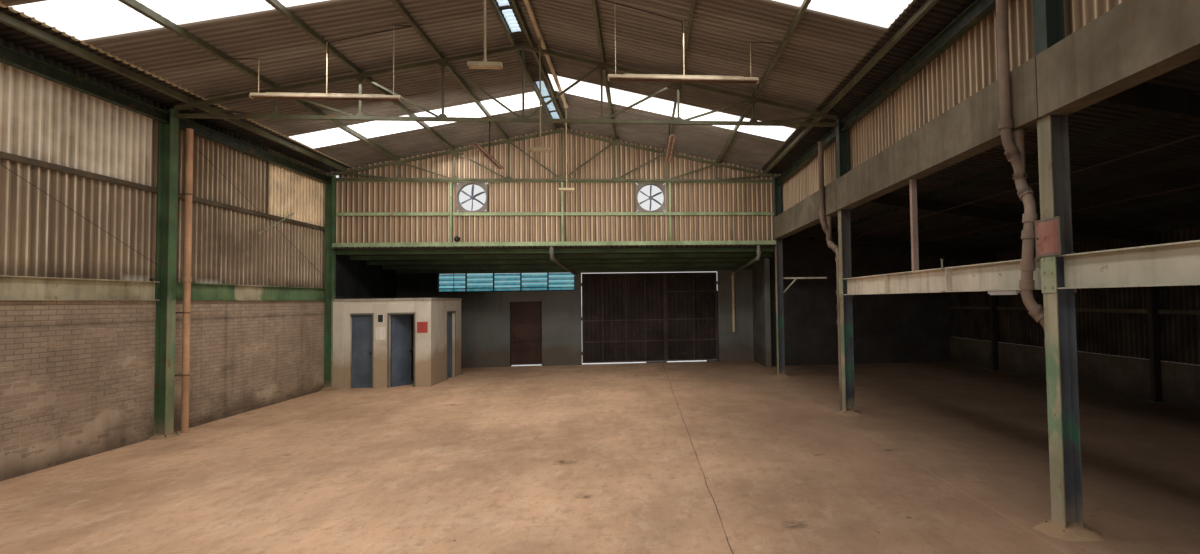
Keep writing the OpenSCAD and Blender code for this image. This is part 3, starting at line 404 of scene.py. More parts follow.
def sheeting(name, colour, shade, pale, along, start, top_wear_and_highlight_share, down, contrast=0.55, zones=(), groove_dirt_and_shade_share=0.35):
    """Corrugated sheet: every sheet of its own tint, dirt along the ribs, the crest of each rib painted pale as
    wear and painted highlight, the trough beside it darkened as dirt and painted shade, and zones of mostly
    painted light and shade.
    """
    f = Finish(name)
    across = f.calc("SUBTRACT", f.xyz[along], start)
    per_sheet = f.per_step(across, RIB_PITCH * RIBS_A_SHEET)
    tint = f.mix(f.spread(per_sheet, 0.0, 1.0, 0.0, 0.5), hexa(colour), hexa(shade))
    tint = f.mix(f.spread(f.per_step(across, RIB_PITCH), 0.45, 1.0, 0.0, 0.35), tint, hexa(shade))
    tint = f.layers(tint, (GRIME, contrast, 0.46, 0.7, 1.0, 7, down, 0.6), (shade, 0.4, 0.4, 0.7, 0.9, 6))
    wave = f.calc("FRACT", f.calc("DIVIDE", across, RIB_PITCH))
    # The trough beside each crest is darkened: dirt and painted shade.
    groove_dirt_and_shade = f.spread(f.off(wave, 0.45), 0.04, 0.2, groove_dirt_and_shade_share, 0.0)
    tint = f.mix(groove_dirt_and_shade, tint, hexa(GRIME))
    # The crest face is painted pale: wear and painted highlight.
    top_wear_and_highlight = f.calc("MULTIPLY", f.spread(f.off(wave, 0.78), 0.06, 0.14, 1.0, 0.0),
                   f.spread(f.noise(1.4, 5, down), 0.35, 0.65, 0.25, 1.0))
    tint = f.mix(f.calc("MULTIPLY", top_wear_and_highlight, top_wear_and_highlight_share), tint, hexa(pale))
    for zone_colour, share, box in zones:
        cover = f.ragged(share, 0.45, 1.7, 6)
        # Weak zones stay fainter in the darkened troughs.
        if share < STRONG:
            cover = f.calc("MULTIPLY", cover, f.spread(groove_dirt_and_shade, 0.0, groove_dirt_and_shade_share, 1.0, 0.6))
        tint = f.zone(tint, zone_colour, cover, **box)
    f.finish(tint, f.drift(3, 4, 0.5, 0.75), f.noise(40, 6), 0.0015, specular=0.3)


def masonry(name, colour, shade, low, low_top, rough_depth=0.003, stains=0.5, by_piece=0.0, down=None,
            zones=()):
    """Block, mortar or plaster, darker and dirtier towards its foot."""
    f = Finish(name)
    tint = hexa(colour)
    if by_piece:
        piece = f.add("ShaderNodeNewGeometry").outputs["Random Per Island"]
        tint = f.mix(f.spread(piece, 0.0, 1.0, 0.0, by_piece), tint, hexa(shade))
    tint = f.layers(tint, (shade, stains, 0.38, 0.7, 1.1, 7, EVEN, 0.62))
    edge = f.calc("ADD", f.xyz[2], f.drift(1.2, 6, -0.35, 0.35))
    foot = f.spread(edge, FLOOR_Z + low_top - 0.25, FLOOR_Z + low_top + 0.25, 0.75, 0.0)
    tint = f.layers(f.mix(foot, tint, hexa(low)),
                    (GRIME, stains if down is None else down, 0.52, 0.74, 1.0, 6, (5, 5, 0.7)),
                    (low, 0.3, 0.58, 0.68, 7.0, 8, EVEN, 0.7))
    for zone_colour, share, box in zones:
        tint = f.zone(tint, zone_colour, f.ragged(share, 0.3, 1.9, 7, EVEN, 0.65), **box)
    height = f.calc("ADD", f.noise(55, 7), f.calc("MULTIPLY", f.noise(6, 5), 1.5))
    f.finish(tint, 0.88, height, rough_depth, specular=0.2)


def two_tone(name, inner, other, face_x, top, zones=()):
    """Paint of one colour on the lower part of the flange at the hall, and of another on the rest."""
    f = Finish(name)
    clouds, height = f.spread(f.noise(1.3, 5), 0.36, 0.66), f.xyz[2]
    ragged = f.calc("ADD", height, f.drift(4.0, 6, -0.25, 0.25))
    share = f.calc("MULTIPLY", f.spread(f.off(f.xyz[0], face_x), 0.02, 0.022, 1.0, 0.0),
                   f.spread(ragged, FLOOR_Z + top - 0.1, FLOOR_Z + top + 0.1, 1.0, 0.0))
    tint = f.mix(share, *(f.mix(clouds, hexa(pair[0]), hexa(pair[1])) for pair in (other, inner)))
    low = f.between(height, FLOOR_Z + 0.7, FLOOR_Z + 1.9, 0.2)
    patches = f.calc("MULTIPLY", low, f.spread(f.noise(3.2, 7, (1, 1, 0.6)), 0.5, 0.56))
    tint = f.mix(f.calc("MULTIPLY", patches, 0.55), tint, hexa("#3F8260"))
    tint = f.layers(tint, (GRIME, 0.45, 0.5, 0.72, 1.0, 6, (9, 9, 0.6)),
                    (RUST, 0.75, 0.61, 0.67, 5.5, 9, EVEN, 0.65))
    foot = f.spread(f.calc("ADD", height, f.drift(3, 5, -0.1, 0.1)), FLOOR_Z + 0.05, FLOOR_Z + 0.35, 0.7, 0.0)
    tint = f.mix(foot, tint, hexa(DUST))
    for zone_colour, part, box in zones:
        tint = f.zone(tint, zone_colour, part, **box)
    f.finish(tint, f.drift(6, 4, 0.4, 0.7), f.noise(70, 5), 0.0008)


def beam_coat(name, pale, green, stretches):
    """Side beams: pale, with stretches of green along the hall, dark green under the eaves, and a near-black band
    of painted shade on the eave beams under the roof.
    """
    f = Finish(name)
    along = f.calc("ADD", f.calc("SUBTRACT", f.xyz[1], FRONT_Y), f.drift(2.5, 5, -0.15, 0.15))
    cover = 0.0
    for start, end in stretches:
        cover = f.calc("MAXIMUM", cover, f.between(along, start, end, 0.05))
    outside = f.calc("MULTIPLY", f.spread(f.normal(0), -0.5, -0.4, 1.0, 0.0),
                     f.spread(f.xyz[0], RIDGE_X - 6.7, RIDGE_X - 6.69, 1.0, 0.0))
    cloud = f.spread(f.noise(1.6, 6), 0.38, 0.66)
    tint = f.mix(f.calc("MAXIMUM", cover, outside),
                 *(f.mix(cloud, hexa(pair[0]), hexa(pair[1])) for pair in (pale, green)))
    tint = f.mix(f.spread(f.xyz[2], FLOOR_Z + 4.0, FLOOR_Z + 4.2), tint, hexa("#2B3828"))
    # Painted shade: a near-black band along the eave beams, under the roof.
    tint = f.zone(tint, "#10160F", 0.7, z=(5.93, 6.06), soft=0.015)
    tint = f.layers(tint, (GRIME, 0.4, 0.5, 0.74, 1.0, 6, (7, 7, 0.8)),
                    (RUST, 0.8, 0.6, 0.67, 5.5, 9, EVEN, 0.65))
    f.finish(f.settle(tint, 0.4), f.drift(6, 4, 0.4, 0.7), f.noise(70, 5), 0.0008)


def plain(name, colour, rough=0.5, metal=0.0):
    """A small part's finish, clouded a little so that it isn't one flat colour."""
    f = Finish(name)
    dark = tuple(c * 0.55 for c in hexa(colour)[:3]) + (1.0,)
    tint = f.mix(f.spread(f.noise(14, 6), 0.35, 0.7, 0.0, 0.5), hexa(colour), dark)
    f.finish(tint, f.drift(9, 4, rough - 0.1, rough + 0.15), f.noise(90, 4), 0.0004, metal)


def concrete_floor():
    """Dusty concrete with swept streaks, worn tracks, stains, a long crack and a joint, darkened by painted shade
    towards the right and in the aisle.
    """
    f = Finish("floor_concrete")
    tint = f.layers(hexa("#DCB28F"), ("#B38F70", 1.0, 0.36, 0.66, 0.3, 8, EVEN, 0.62),
                    ("#95755A", 0.32, 0.45, 0.72, 1.0, 8, (1.6, 0.5, 1), 0.65),
                    ("#E2C3A2", 0.35, 0.5, 0.68, 1.1, 9, EVEN, 0.72, (3, 7, 0)),
                    ("#8F7054", 0.45, 0.5, 0.64, 7, 9, (1.0, 0.55, 1), 0.8),
                    ("#EBD0B2", 0.4, 0.53, 0.66, 5, 9, (0.8, 0.45, 1), 0.8, (4, 4, 0)),
                    ("#7B5E46", 0.35, 0.6, 0.68, 3.0, 8, (0.35, 2.2, 1), 0.75, (2, 8, 0)),
                    ("#5E4834", 0.55, 0.66, 0.72, 2.6, 9, EVEN, 0.75, (1, 4, 0)),
                    ("#4C3A2A", 0.85, 0.735, 0.75, 8, 3, EVEN, 0.55, (9, 2, 0)),
                    ("#8C6F57", 0.35, 0.5, 0.7, 0.5, 7, (2.0, 0.7, 1), 0.6, (5, 1, 0)))
    # Painted shade: the floor darkens towards the right and is darker still in the aisle.
    tint = f.zone(tint, "#6B5646", 0.55, x=(3.6, FAR), soft=1.6)
    tint = f.zone(tint, "#3B3029", 0.6, x=(7.2, FAR), soft=1.0)
    stain = f.spread(f.noise(9, 6), 0.4, 0.6, 0.0, 0.9)
    for x, y, size in ((1.14, 16.05, 0.14), (1.55, 14.36, 0.09), (6.15, 15.97, 0.1), (-2.22, 21.7, 0.14),
                       (4.99, 15.85, 0.07), (-3.4, 17.2, 0.06), (3.9, 13.1, 0.12)):
        tint = f.zone(tint, "#4E3D2E", stain, x=(x - size, x + size), y=(y - size * 0.7, y + size * 0.7),
                      soft=size * 0.5)
    wander = f.drift(0.9, 5, -0.02, 0.02)
    for place, colour, share, width in ((FLOOR_CRACK_X, "#4A3826", 0.85, 0.009),
                                        (FLOOR_JOINT_X, "#B59E83", 0.3, 0.02)):
        gap = f.calc("ABSOLUTE", f.calc("ADD", f.calc("SUBTRACT", f.xyz[0], place), wander))
        line = f.calc("MULTIPLY", f.spread(gap, width * 0.5, width, 1.0, 0.0),
                      f.spread(f.noise(0.7, 4, (0.1, 1, 1)), 0.35, 0.5, 0.25, 1.0))
        tint = f.mix(f.calc("MULTIPLY", line, share), tint, hexa(colour))
    tint = f.mix(f.spread(f.normal(2), 0.4, 0.6, 1.0, 0.0), tint, hexa("#8F8A81"))
    for rim in ({"x": (-FAR, -6.79)}, {"x": (13.6, FAR)}, {"y": (-5.0, -0.12)}, {"y": (30.36, 40.0)}):
        tint = f.zone(tint, "#948E85", 1.0, soft=0.01, **rim)
    fine = f.calc("ADD", f.noise(60, 7), f.calc("MULTIPLY", f.noise(7, 6, rough=0.7), 2.0))
    f.finish(tint, f.spread(f.noise(1.6, 6), 0.35, 0.65, 0.55, 0.85), fine, 0.0016, specular=0.35)


def glowing(name, colour, strength, roof=False):
    """A face that glows as painted daylight through a translucent sheet or glass, though it is no lamp; on a roof
    only its underside glows.
    """
    f = Finish(name)
    tint = f.layers(hexa(colour), ("#E6E8DF", 0.25, 0.4, 0.7, 1.0, 5, (5, 5, 5)))
    f.put(f.shader.inputs["Emission Color"], tint)
    f.put(f.shader.inputs["Emission Strength"], strength)
    if roof:
        f.put(f.shader.inputs["Emission Strength"], f.spread(f.normal(2), -0.02, 0.02, strength, 0.0))
        worn = f.layers(hexa("#D5DAD3"), ("#A9ABA1", 0.7, 0.45, 0.7, 1.0, 6, (0.4, 5, 0.4)))
        tint = f.mix(f.spread(f.normal(2), -0.02, 0.02), tint, worn)
    f.finish(tint, 0.5, f.noise(30, 4), 0.001)


def facing(axis, sign, rows):
    """Zones that lie only on the faces that look along an axis."""
    return [(colour, share, dict(box, faces=(axis, sign))) for colour, share, box in rows]


# Zones: a colour, its share, and its box in metres from the ridge line, the front frame and the floor

# Painted light and shade on the left wall's inner face: the upper sheets lighter from the front to 18.9 m and
# beyond 22.45 m, darker between, the lower sheets darker, and near black above the eave beam under the roof.
LEFT_WALL_ZONES = facing(0, 1, (
    ("#F3E8D2", 0.7, {"y": (0.0, 18.9), "z": (4.6, 6.4)}),
    ("#66594B", 0.45, {"z": (2.8, 4.6)}),
    ("#5A4939", 0.5, {"y": (18.9, 22.45), "z": (4.6, 6.4)}),
    ("#FFE2B8", 0.75, {"y": (22.45, 26.0), "z": (4.6, 6.4), "soft": 0.02}),
    ("#2E241B", 0.8, {"y": (22.42, 22.48), "z": (4.6, 6.0), "soft": 0.01}),
    ("#3A2E24", 0.7, {"z": (2.8, 3.05), "soft": 0.15}),
    ("#4A3A2C", 0.6, {"y": (20.0, 22.2), "z": (3.3, 4.4), "soft": 0.4}),
    ("#EFE6D4", 0.5, {"y": (18.3, 18.95), "z": (2.86, 2.96), "soft": 0.06}),
    ("#EFE6D4", 0.5, {"y": (20.1, 20.8), "z": (2.86, 2.96), "soft": 0.06}),
    ("#17140F", 0.92, {"z": (6.075, 7.0), "soft": 0.012})))
# Painted shade on the right walls' inner faces: near black above the eave beam and on the aisle's outer wall
# below 4.6 m.
RIGHT_WALL_ZONES = facing(0, -1, (("#17140F", 0.92, {"z": (6.1, 7.0), "soft": 0.015}),
                                  ("#15120F", 0.96, {"x": (7.5, FAR), "z": (-1.0, 4.6)})))
# On the roof's underside: painted shade over the eaves and on the far part of the roof, and a painted highlight
# along the sheets' edge at each eave.
EAVE_ZONES = facing(2, -1, (
    ("#1B1712", 0.9, {"x": (-FAR, -6.07), "soft": 0.01}), ("#1B1712", 0.9, {"x": (6.07, FAR), "soft": 0.01}),
    ("#D6C69E", 0.85, {"x": (-6.1, -6.05), "soft": 0.01}), ("#7D7158", 0.6, {"x": (6.05, 6.1), "soft": 0.01}),
    ("#4A4137", 0.55, {"x": (-6.05, 6.05), "y": (18.6, 26.0), "soft": 0.3})))
# The aisle's box: parts in it are painted near black, painted shade of the dark aisle.
IN_AISLE = {"x": (7.5, FAR), "soft": 0.02}
MID_BEAM_ZONES = (("#7F8674", 0.5, {"y": (5.0, 13.9), "soft": 0.5}),
                  ("#4A3A2E", 0.7, {"y": (14.72, 14.84), "soft": 0.01}),
                  ("#4A3A2E", 0.5, {"y": (16.93, 16.98), "soft": 0.01}))
BRICK_ZONES = facing(0, 1, (
    ("#2F261E", 0.75, {"y": (20.75, 21.2), "z": (0.95, 1.2), "soft": 0.12}),
    ("#463A2E", 0.5, {"y": (20.84, 20.94), "z": (0.0, 2.5), "soft": 0.05}),
    ("#463A2E", 0.4, {"y": (23.83, 23.93), "z": (0.0, 2.5), "soft": 0.05}),
    ("#4A3D31", 0.5, {"z": (2.12, 2.2), "soft": 0.03}),
    ("#3A2F25", 0.45, {"z": (-0.5, 0.15), "soft": 0.1}),
    ("#5B4E42", 0.3, {"y": (6.0, 18.9), "z": (1.1, 2.6), "soft": 0.5})))
# The brickwork's faces in the aisle are painted near black: painted shade.
for axis, sign in ((0, -1), (1, 1)):
    BRICK_ZONES += facing(axis, sign, [("#26211D", 0.8, {"x": (7.5, FAR)})])
# The first two rows are painted shade: the left part of the annex's back wall and its left wall, near black above
# about 2.5 m. The last darkens the inner face of the annex's right wall.
ANNEX_ZONES = [("#121212", 0.9, {"x": (-7.0, -3.2), "z": (2.5, 5.0), "soft": 0.5, "faces": (1, -1)}),
               ("#121212", 0.9, {"x": (-7.0, -6.0), "z": (2.4, 5.0), "soft": 0.3, "faces": (0, 1)}),
               ("#241E1A", 0.78, {"x": (5.5, 6.7), "y": (25.0, 30.3), "soft": 0.1, "faces": (0, -1)})]
TOILET_LINTELS = [("#D3CAB8", 1.0, {"y": (24.0, 25.9), "soft": 0.02}),
                  ("#D3CAB8", 1.0, {"y": (25.9, 28.6), "x": (-7.0, -3.6), "soft": 0.02})]

sheeting("left_wall_sheet", "#B39A7C", "#80684F", "#F0E2C6", 1, RIB_START, 0.95, (6, 6, 0.35), 0.6,
         LEFT_WALL_ZONES, 0.6)
sheeting("right_wall_sheet", "#B0977A", "#836A52", "#EAD9BC", 1, RIB_START, 0.8, (6, 6, 0.35), 0.6,
         RIGHT_WALL_ZONES, 0.5)
sheeting("wall_sheet_end", "#B09478", "#85694F", "#EFDCBF", 0, RIDGE_X, 0.85, (6, 6, 0.3), 0.6, (), 0.7)
sheeting("roof_sheet", "#91877B", "#70655A", "#A69C90", 1, RIB_START, 0.35, (0.3, 6, 0.3), 0.4, EAVE_ZONES)
# Painted shade: the undersides of the annex's and the aisle's roofs are darkened.
sheeting("lean_to_sheet", "#8D8478", "#6C6459", "#A0978B", 0, RIDGE_X, 0.35, (6, 0.3, 0.3), 0.4,
         facing(2, -1, [("#3E3A34", 0.85, {})]))
sheeting("aisle_sheet", "#8A8074", "#6A6056", "#9C9286", 1, RIB_START, 0.3, (0.3, 6, 0.3), 0.4,
         facing(2, -1, [("#1D1A18", 0.85, {})]))
painted("green_paint", "#647F5B", "#435A41", rust=0.3)
# The lean-to purlins are painted near black in the aisle: painted shade.
painted("lean_to_steel", "#55704E", "#3A4F38", rust=0.4, dust=0.2,
        zones=[("#211F1C", 0.9, {"x": (6.9, FAR), "soft": 0.05})])
painted("truss_paint", "#69694F", "#4D4937", rust=0.5, dust=0.4)
painted("gable_paint", "#A4B28A", "#7F8E68", rust=0.35, dust=0.5)
painted("pale_green_paint", "#A3A48D", "#7C806A", rust=0.4, dust=0.35)
painted("mid_beam_paint", "#DDD0BC", "#B5AB98", rust=0.35, dust=0.4, runs=0.45, zones=MID_BEAM_ZONES)
# The posts are painted near black in the aisle: painted shade.
painted("post_paint", "#A99386", "#857166", rust=0.3, zones=[("#1A1714", 0.93, IN_AISLE)])
painted("band_plaster", "#756C5B", "#585142", rust=0.3, runs=0.55, rough=0.8)
painted("louvre_metal", "#7FB6BF", "#5C8F9A", dust=0.2, rough=0.35)
painted("fan_metal", "#93897E", "#726961", rust=0.3, rough=0.45, metal=0.2)
painted("gate_steel", "#3D3532", "#2B2624", rust=0.5, runs=0.4)
painted("gate_rail_paint", "#66564E", "#463A35", rust=0.5)
painted("brown_door_paint", "#56403A", "#3F2E2A", rust=0.2)
painted("blue_door_paint", "#66727F", "#4C5763", rust=0.1, fine=5.0)
painted("pipe_paint", "#D3A680", "#AA8464", rust=0.2, runs=0.45)
painted("pipe_brown", "#8E7B6B", "#6A5B4E", rust=0.25, runs=0.4)
painted("pipe_grey", "#77756C", "#5D5B54", rust=0.1,
        zones=[("#E0CCAE", 0.9, {"y": (29.5, 31.0), "z": (0.0, 3.4), "soft": 0.1})])
# The conduits are painted near black in the aisle: painted shade.
painted("conduit_paint", "#8A6B52", "#65503F", rust=0.2, runs=0.2, zones=[("#2A2621", 0.85, IN_AISLE)])
painted("ridge_conduit_paint", "#DCC7A4", "#A8947A", rust=0.1, runs=0.2)
painted("lamp_housing", "#D2C3A4", "#A8977B", rust=0.15, dust=0.5)
painted("lamp_brown", "#7A5A40", "#543C2A", rust=0.3)
painted("lamp_tube", "#D9C4BA", "#B39C90", rust=0.1, dust=0.4, rough=0.3)
painted("pendant_housing", "#A89878", "#84755A", rust=0.15, dust=0.5)
painted("twin_housing", "#9A7C6C", "#6E5549", rust=0.2)
painted("plate_paint", "#A07A6C", "#7D5246", rust=0.8, runs=0.6)
painted("plate_white", "#FBF8F1", "#E0D8C8", dust=0.2, runs=0.2)
painted("plate_dark", "#39413A", "#2C322D", dust=0.2, runs=0.1)
painted("plate_red", "#C2564D", "#A2463F", dust=0.2, runs=0.2)
painted("box_lid", "#A68A7C", "#8A5A4E", rust=1.0, runs=0.7, fine=14.0)
painted("box_rim", "#7E7568", "#625A50", rust=0.6)
painted("fan_blade", "#6F7480", "#565A66", rust=0.1, rough=0.4)
painted("girt_paint", "#5A5040", "#3E362B", rust=0.5, dust=0.5)
# The aisle's rafters are painted near black: painted shade of the dark aisle.
painted("aisle_steel", "#2E2C28", "#211F1C", rust=0.3, dust=0.1)
painted("collar_paint", "#A5A38C", "#7F8A6C", rust=0.5, dust=0.4)
painted("trim_sheet", "#8E8375", "#6D6459", rust=0.35, dust=0.35, runs=0.5, rough=0.6)
painted("dirty_sheet", "#5B5449", "#40392F", rust=0.2, dust=0.4, rough=0.7)
painted("bolt_white", "#E9EDF2", "#C9D0D8", dust=0.1, rough=0.3)
painted("door_frame_paint", "#7F7A6C", "#635E52", rust=0.2)
two_tone("left_column_paint", ("#8B9272", "#6B7558"), ("#56714F", "#3B5238"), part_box("left_columns")[1][0], 2.6)
two_tone("right_column_paint", ("#A89F88", "#828168"), ("#5F656B", "#464B50"),
         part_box("right_columns")[0][0], 4.9,
         [("#5E5342", 0.45, {"z": (2.9, 4.9)}), ("#35443A", 0.85, {"z": (4.85, 9.0)})])
beam_coat("side_beam_paint", ("#B3A98C", "#8C8269"), ("#68815A", "#37442F"),
          ((-1.0, 1.4), (3.1, 6.1), (9.0, 13.2), (18.93, 21.17), (22.15, 26.0)))
masonry("blockwork", "#AC9882", "#85735F", "#6A5A4B", 0.3, by_piece=0.4, down=0.3, zones=BRICK_ZONES)
masonry("mortar", "#85766A", "#6A5C4E", "#54473B", 0.3, down=0.3, zones=BRICK_ZONES)
masonry("wall_smear", "#BCA890", "#96826C", "#7A6856", 0.3, 0.005, 0.6, down=0.25, zones=BRICK_ZONES)
masonry("annex_plaster", "#787973", "#5B5C56", "#665B4D", 0.7, down=0.2, zones=ANNEX_ZONES)
masonry("lintel_plaster", "#787973", "#5B5C56", "#61584C", 0.0, stains=0.45, down=0.1, zones=TOILET_LINTELS)
# The aisle back wall's face towards the front is painted near black: painted shade.
masonry("aisle_plaster", "#8D8680", "#6F6964", "#6A5F53", 0.6, 0.002, 0.45, down=0.3,
        zones=facing(1, -1, [("#35312E", 0.95, {})]))
masonry("toilet_plaster", "#D3CAB8", "#ABA18F", "#A08566", 0.95, down=0.12)
masonry("slab_plaster", "#A39A8A", "#857C6D", "#716D64", 0.0, 0.002, 0.4)
masonry("dust_pile", "#A88C6E", "#866D53", "#866D53", 0.0, 0.006, 0.3)
plain("dark_steel", "#3A3733", 0.5, 0.6)
concrete_floor()
# Painted light: these faces glow in place of daylight through the roof lights, the ridge strip and the louvre
# slats; alternate louvre slats glow dimmer.
glowing("daylight_sheet", "#FFFFFF", 1.0, True)
glowing("ridge_daylight", "#C6DCEB", 0.9, True)
glowing("ridge_daylight_dim", "#A9C4D6", 0.62, True)
glowing("louvre_glass", "#7FD3E0", 0.55)
glowing("louvre_glass_dim", "#3F9FB4", 0.4)


# Sheets

def rib_samples(start, low, high, breaks=()):
    """Places across the ribs from low to high, each with the wave's height there."""
    def height(u):
        share = ((u - start) / RIB_PITCH) % 1.0
        points = RIB_PROFILE + [(1.0, 0.0)]
        for (a, ha), (b, hb) in zip(points, points[1:]):
            if a <= share <= b:
                return ha + (hb - ha) * (share - a) / (b - a)
        return 0.0

    places = {low, high, *breaks}
    first = math.floor((low - start) / RIB_PITCH)
    last = math.ceil((high - start) / RIB_PITCH)
    for wave in range(first, last + 1):
        for share, _ in RIB_PROFILE:
            u = start + (wave + share) * RIB_PITCH
            if low < u < high and all(abs(u - b) > 1e-3 for b in (low, high, *breaks)):
                places.add(u)
    return [(u, height(u)) for u in sorted(places)]


def sheets(name, nodes, finish, origin, across, along, out, start, low, high, breaks=(), torn=None):
    """Corrugated sheets where a plane meets the CAD nodes. The plane passes through the origin, the
    ribs run along one axis of it and their crests point out. A torn place is left open."""
    trees = [BVHTree.FromPolygons(*node_mesh(node)) for node in nodes]
    shape = Shape()
    inset = 2e-4
    samples = rib_samples(start, low, high, breaks)

    def spot(u, t, h):
        return origin + across * (u - low) + along * t + out * ((h - 0.5) * (SHEET_DEPTH - SHEET_T))

    for (u0, h0), (u1, h1) in zip(samples, samples[1:]):
        first = spans(trees, origin + across * (u0 + inset - low), along, 60.0)
        second = spans(trees, origin + across * (u1 - inset - low), along, 60.0)
        if len(first) != len(second):
            continue
        for (a0, b0), (a1, b1) in zip(first, second):
            parts = [(a0, b0, a1, b1)]
            if torn and torn[0] < (u0 + u1) / 2 < torn[1] and a0 < torn[2] and b0 > torn[3]:
                parts = [(a0, torn[2], a1, torn[2]), (torn[3], b0, torn[3], b1)]
            for c0, d0, c1, d1 in parts:
                shape.add([spot(u0, c0, h0), spot(u1, c1, h1), spot(u1, d1, h1), spot(u0, d0, h0)],
                          [(0, 1, 2, 3)])
    shape.piece(name, finish, thick=SHEET_T, replaces=nodes)


def wall_sheets():
    sheets("left_wall_sheets", ["left_cladding"], "left_wall_sheet",
           Vector((WALL_LO[0] + SHEET_DEPTH / 2, WALL_LO[1], 0)), Y, Z, X, RIB_START, WALL_LO[1], WALL_HI[1])
    for word, (low, high) in zip("abc", solids("right_cladding")):
        sheets("right_wall_sheets_" + word, ["right_cladding"], "right_wall_sheet",
               Vector(((low[0] + high[0]) / 2, low[1], 0)), Y, Z, -X, RIB_START, low[1], high[1])
    for name, nodes, out, torn in (("front_sheets", ["front_cladding"], Y, None),
                                   ("gable_sheets", ["gable_cladding", "gable_cladding_mid"], -Y,
                                    (RIDGE_X - 6.72, RIDGE_X - 6.42, FLOOR_Z + 6.1, FLOOR_Z + 6.26))):
        low = [min(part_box(n)[0][i] for n in nodes) for i in range(3)]
        high = [max(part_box(n)[1][i] for n in nodes) for i in range(3)]
        breaks = sorted({round(b[i][0], 5) for n in nodes for b in solids(n) for i in (0, 1)})
        sheets(name, nodes, "wall_sheet_end", Vector((low[0], (low[1] + high[1]) / 2, 0)),
               X, Z, out, RIDGE_X, low[0], high[0], breaks, torn)


def top_chord(x):
    """Height of the top chord's axis at that distance from the ridge."""
    return RIDGE_Z - abs(x) * math.tan(PITCH)


def slab_line(name, side):
    """Middle of a sloping slab's edge nearest the ridge, and the way down its slope."""
    corners, _ = node_mesh(name)
    part = [c for c in corners if (c[0] - RIDGE_X) * side > 0]
    xs = [c[0] * side for c in part]
    near = [c for c in part if c[0] * side < min(xs) + 1e-3]
    far = [c for c in part if c[0] * side > max(xs) - 1e-3]
    a = Vector((min(xs) * side, 0, (min(c[2] for c in near) + max(c[2] for c in near)) / 2))
    b = Vector((max(xs) * side, 0, (min(c[2] for c in far) + max(c[2] for c in far)) / 2))
    return a, (b - a).normalized()


def upward(way, across):
    """The upward side of a slope that runs that way."""
    up = way.cross(across)
    return up if up.z > 0 else -up


def roofs():
    low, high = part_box("roof_sheets")
    for side, word in ((-1, "left"), (1, "right")):
        ridge, slope = slab_line("roof_sheets", side)
        begin = ridge - slope * 0.001
        for node, finish, label in (("roof_sheets", "roof_sheet", "roof_sheets"),
                                    ("skylights", "daylight_sheet", "roof_lights")):
            breaks = sorted({round(c[1], 5) for c in node_mesh(node)[0] if (c[0] - RIDGE_X) * side > 0})
            breaks = [b for b in breaks if low[1] + 1e-3 < b < high[1] - 1e-3]
            sheets(f"{label}_{word}", [node], finish, Vector((begin.x, low[1], begin.z)), Y, slope,
                   upward(slope, Y), RIB_START, low[1], high[1], breaks)


def lean_to_roofs():
    for node, finish, run, down, begin in (("aisle_roof", "aisle_sheet", 1, 0, RIB_START),
                                           ("annex_roof", "lean_to_sheet", 0, 1, RIDGE_X)):
        corners, _ = node_mesh(node)
        low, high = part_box(node)
        near = [c[2] for c in corners if c[down] < low[down] + 1e-3]
        far = [c[2] for c in corners if c[down] > high[down] - 1e-3]
        top, foot = (min(near) + max(near)) / 2, (min(far) + max(far)) / 2
        axis, across = (X, Y) if down == 0 else (Y, X)
        slope = (axis * (high[down] - low[down]) + Z * (foot - top)).normalized()
        origin = across * low[run] + axis * low[down] + Z * top - slope * 0.02
        breaks = sorted({round(c[0], 5) for c in corners if low[0] < c[0] < high[0]}) if down else []
        sheets(node + "_sheets", [node], finish, origin, across, slope, upward(slope, across), begin,
               low[run], high[run], breaks)


def ridge_strip():
    """The translucent strip on both sides of the ridge, ribbed as the roof sheets are. Its stretches glow as
    painted daylight, dimmer beyond the fourth frame; it is a dark sheet near the frames, at its cross-bars, on
    the outer part of the left side and on all but a thin stripe by the ridge on the right."""
    low, high = [b for b in solids("skylights") if b[1][1] - b[0][1] > 5.0][0]
    shape = Shape()
    half = (high[0] - low[0]) / 2
    rise = (SHEET_DEPTH - SHEET_T) / math.cos(PITCH)
    samples = rib_samples(RIB_START, low[1], high[1])
    lit_left, lit_right = 0.8 * half, 0.035
    for (u0, h0), (u1, h1) in zip(samples, samples[1:]):
        z0, z1 = (high[2] - rise + h * rise for h in (h0, h1))
        past = min((u0 - y for y in FRAMES_Y if u0 - y > -0.45), default=9.0)
        dark_stretch = past < 2.1 or (u0 - low[1]) % 1.2 < 0.09
        # Glowing stretches are painted daylight, dimmer beyond the fourth frame; the rest is the dark sheet.
        lit = 1 if dark_stretch else (2 if u0 > FRAMES_Y[3] else 0)
        for side, edge in ((-1, lit_left), (1, lit_right)):
            for near, far, slot in ((0.0, edge, lit), (edge, half, 1)):
                fall0, fall1 = near * math.tan(PITCH), far * math.tan(PITCH)
                near_x, far_x = RIDGE_X + side * near, RIDGE_X + side * far
                shape.add([(near_x, u0, z0 - fall0), (near_x, u1, z1 - fall0), (far_x, u1, z1 - fall1),
                           (far_x, u0, z0 - fall1)], [(0, 1, 2, 3)], slot)
    shape.piece("ridge_light", "ridge_daylight dirty_sheet ridge_daylight_dim", thick=SHEET_T,
                replaces=["skylights"])


# Masonry

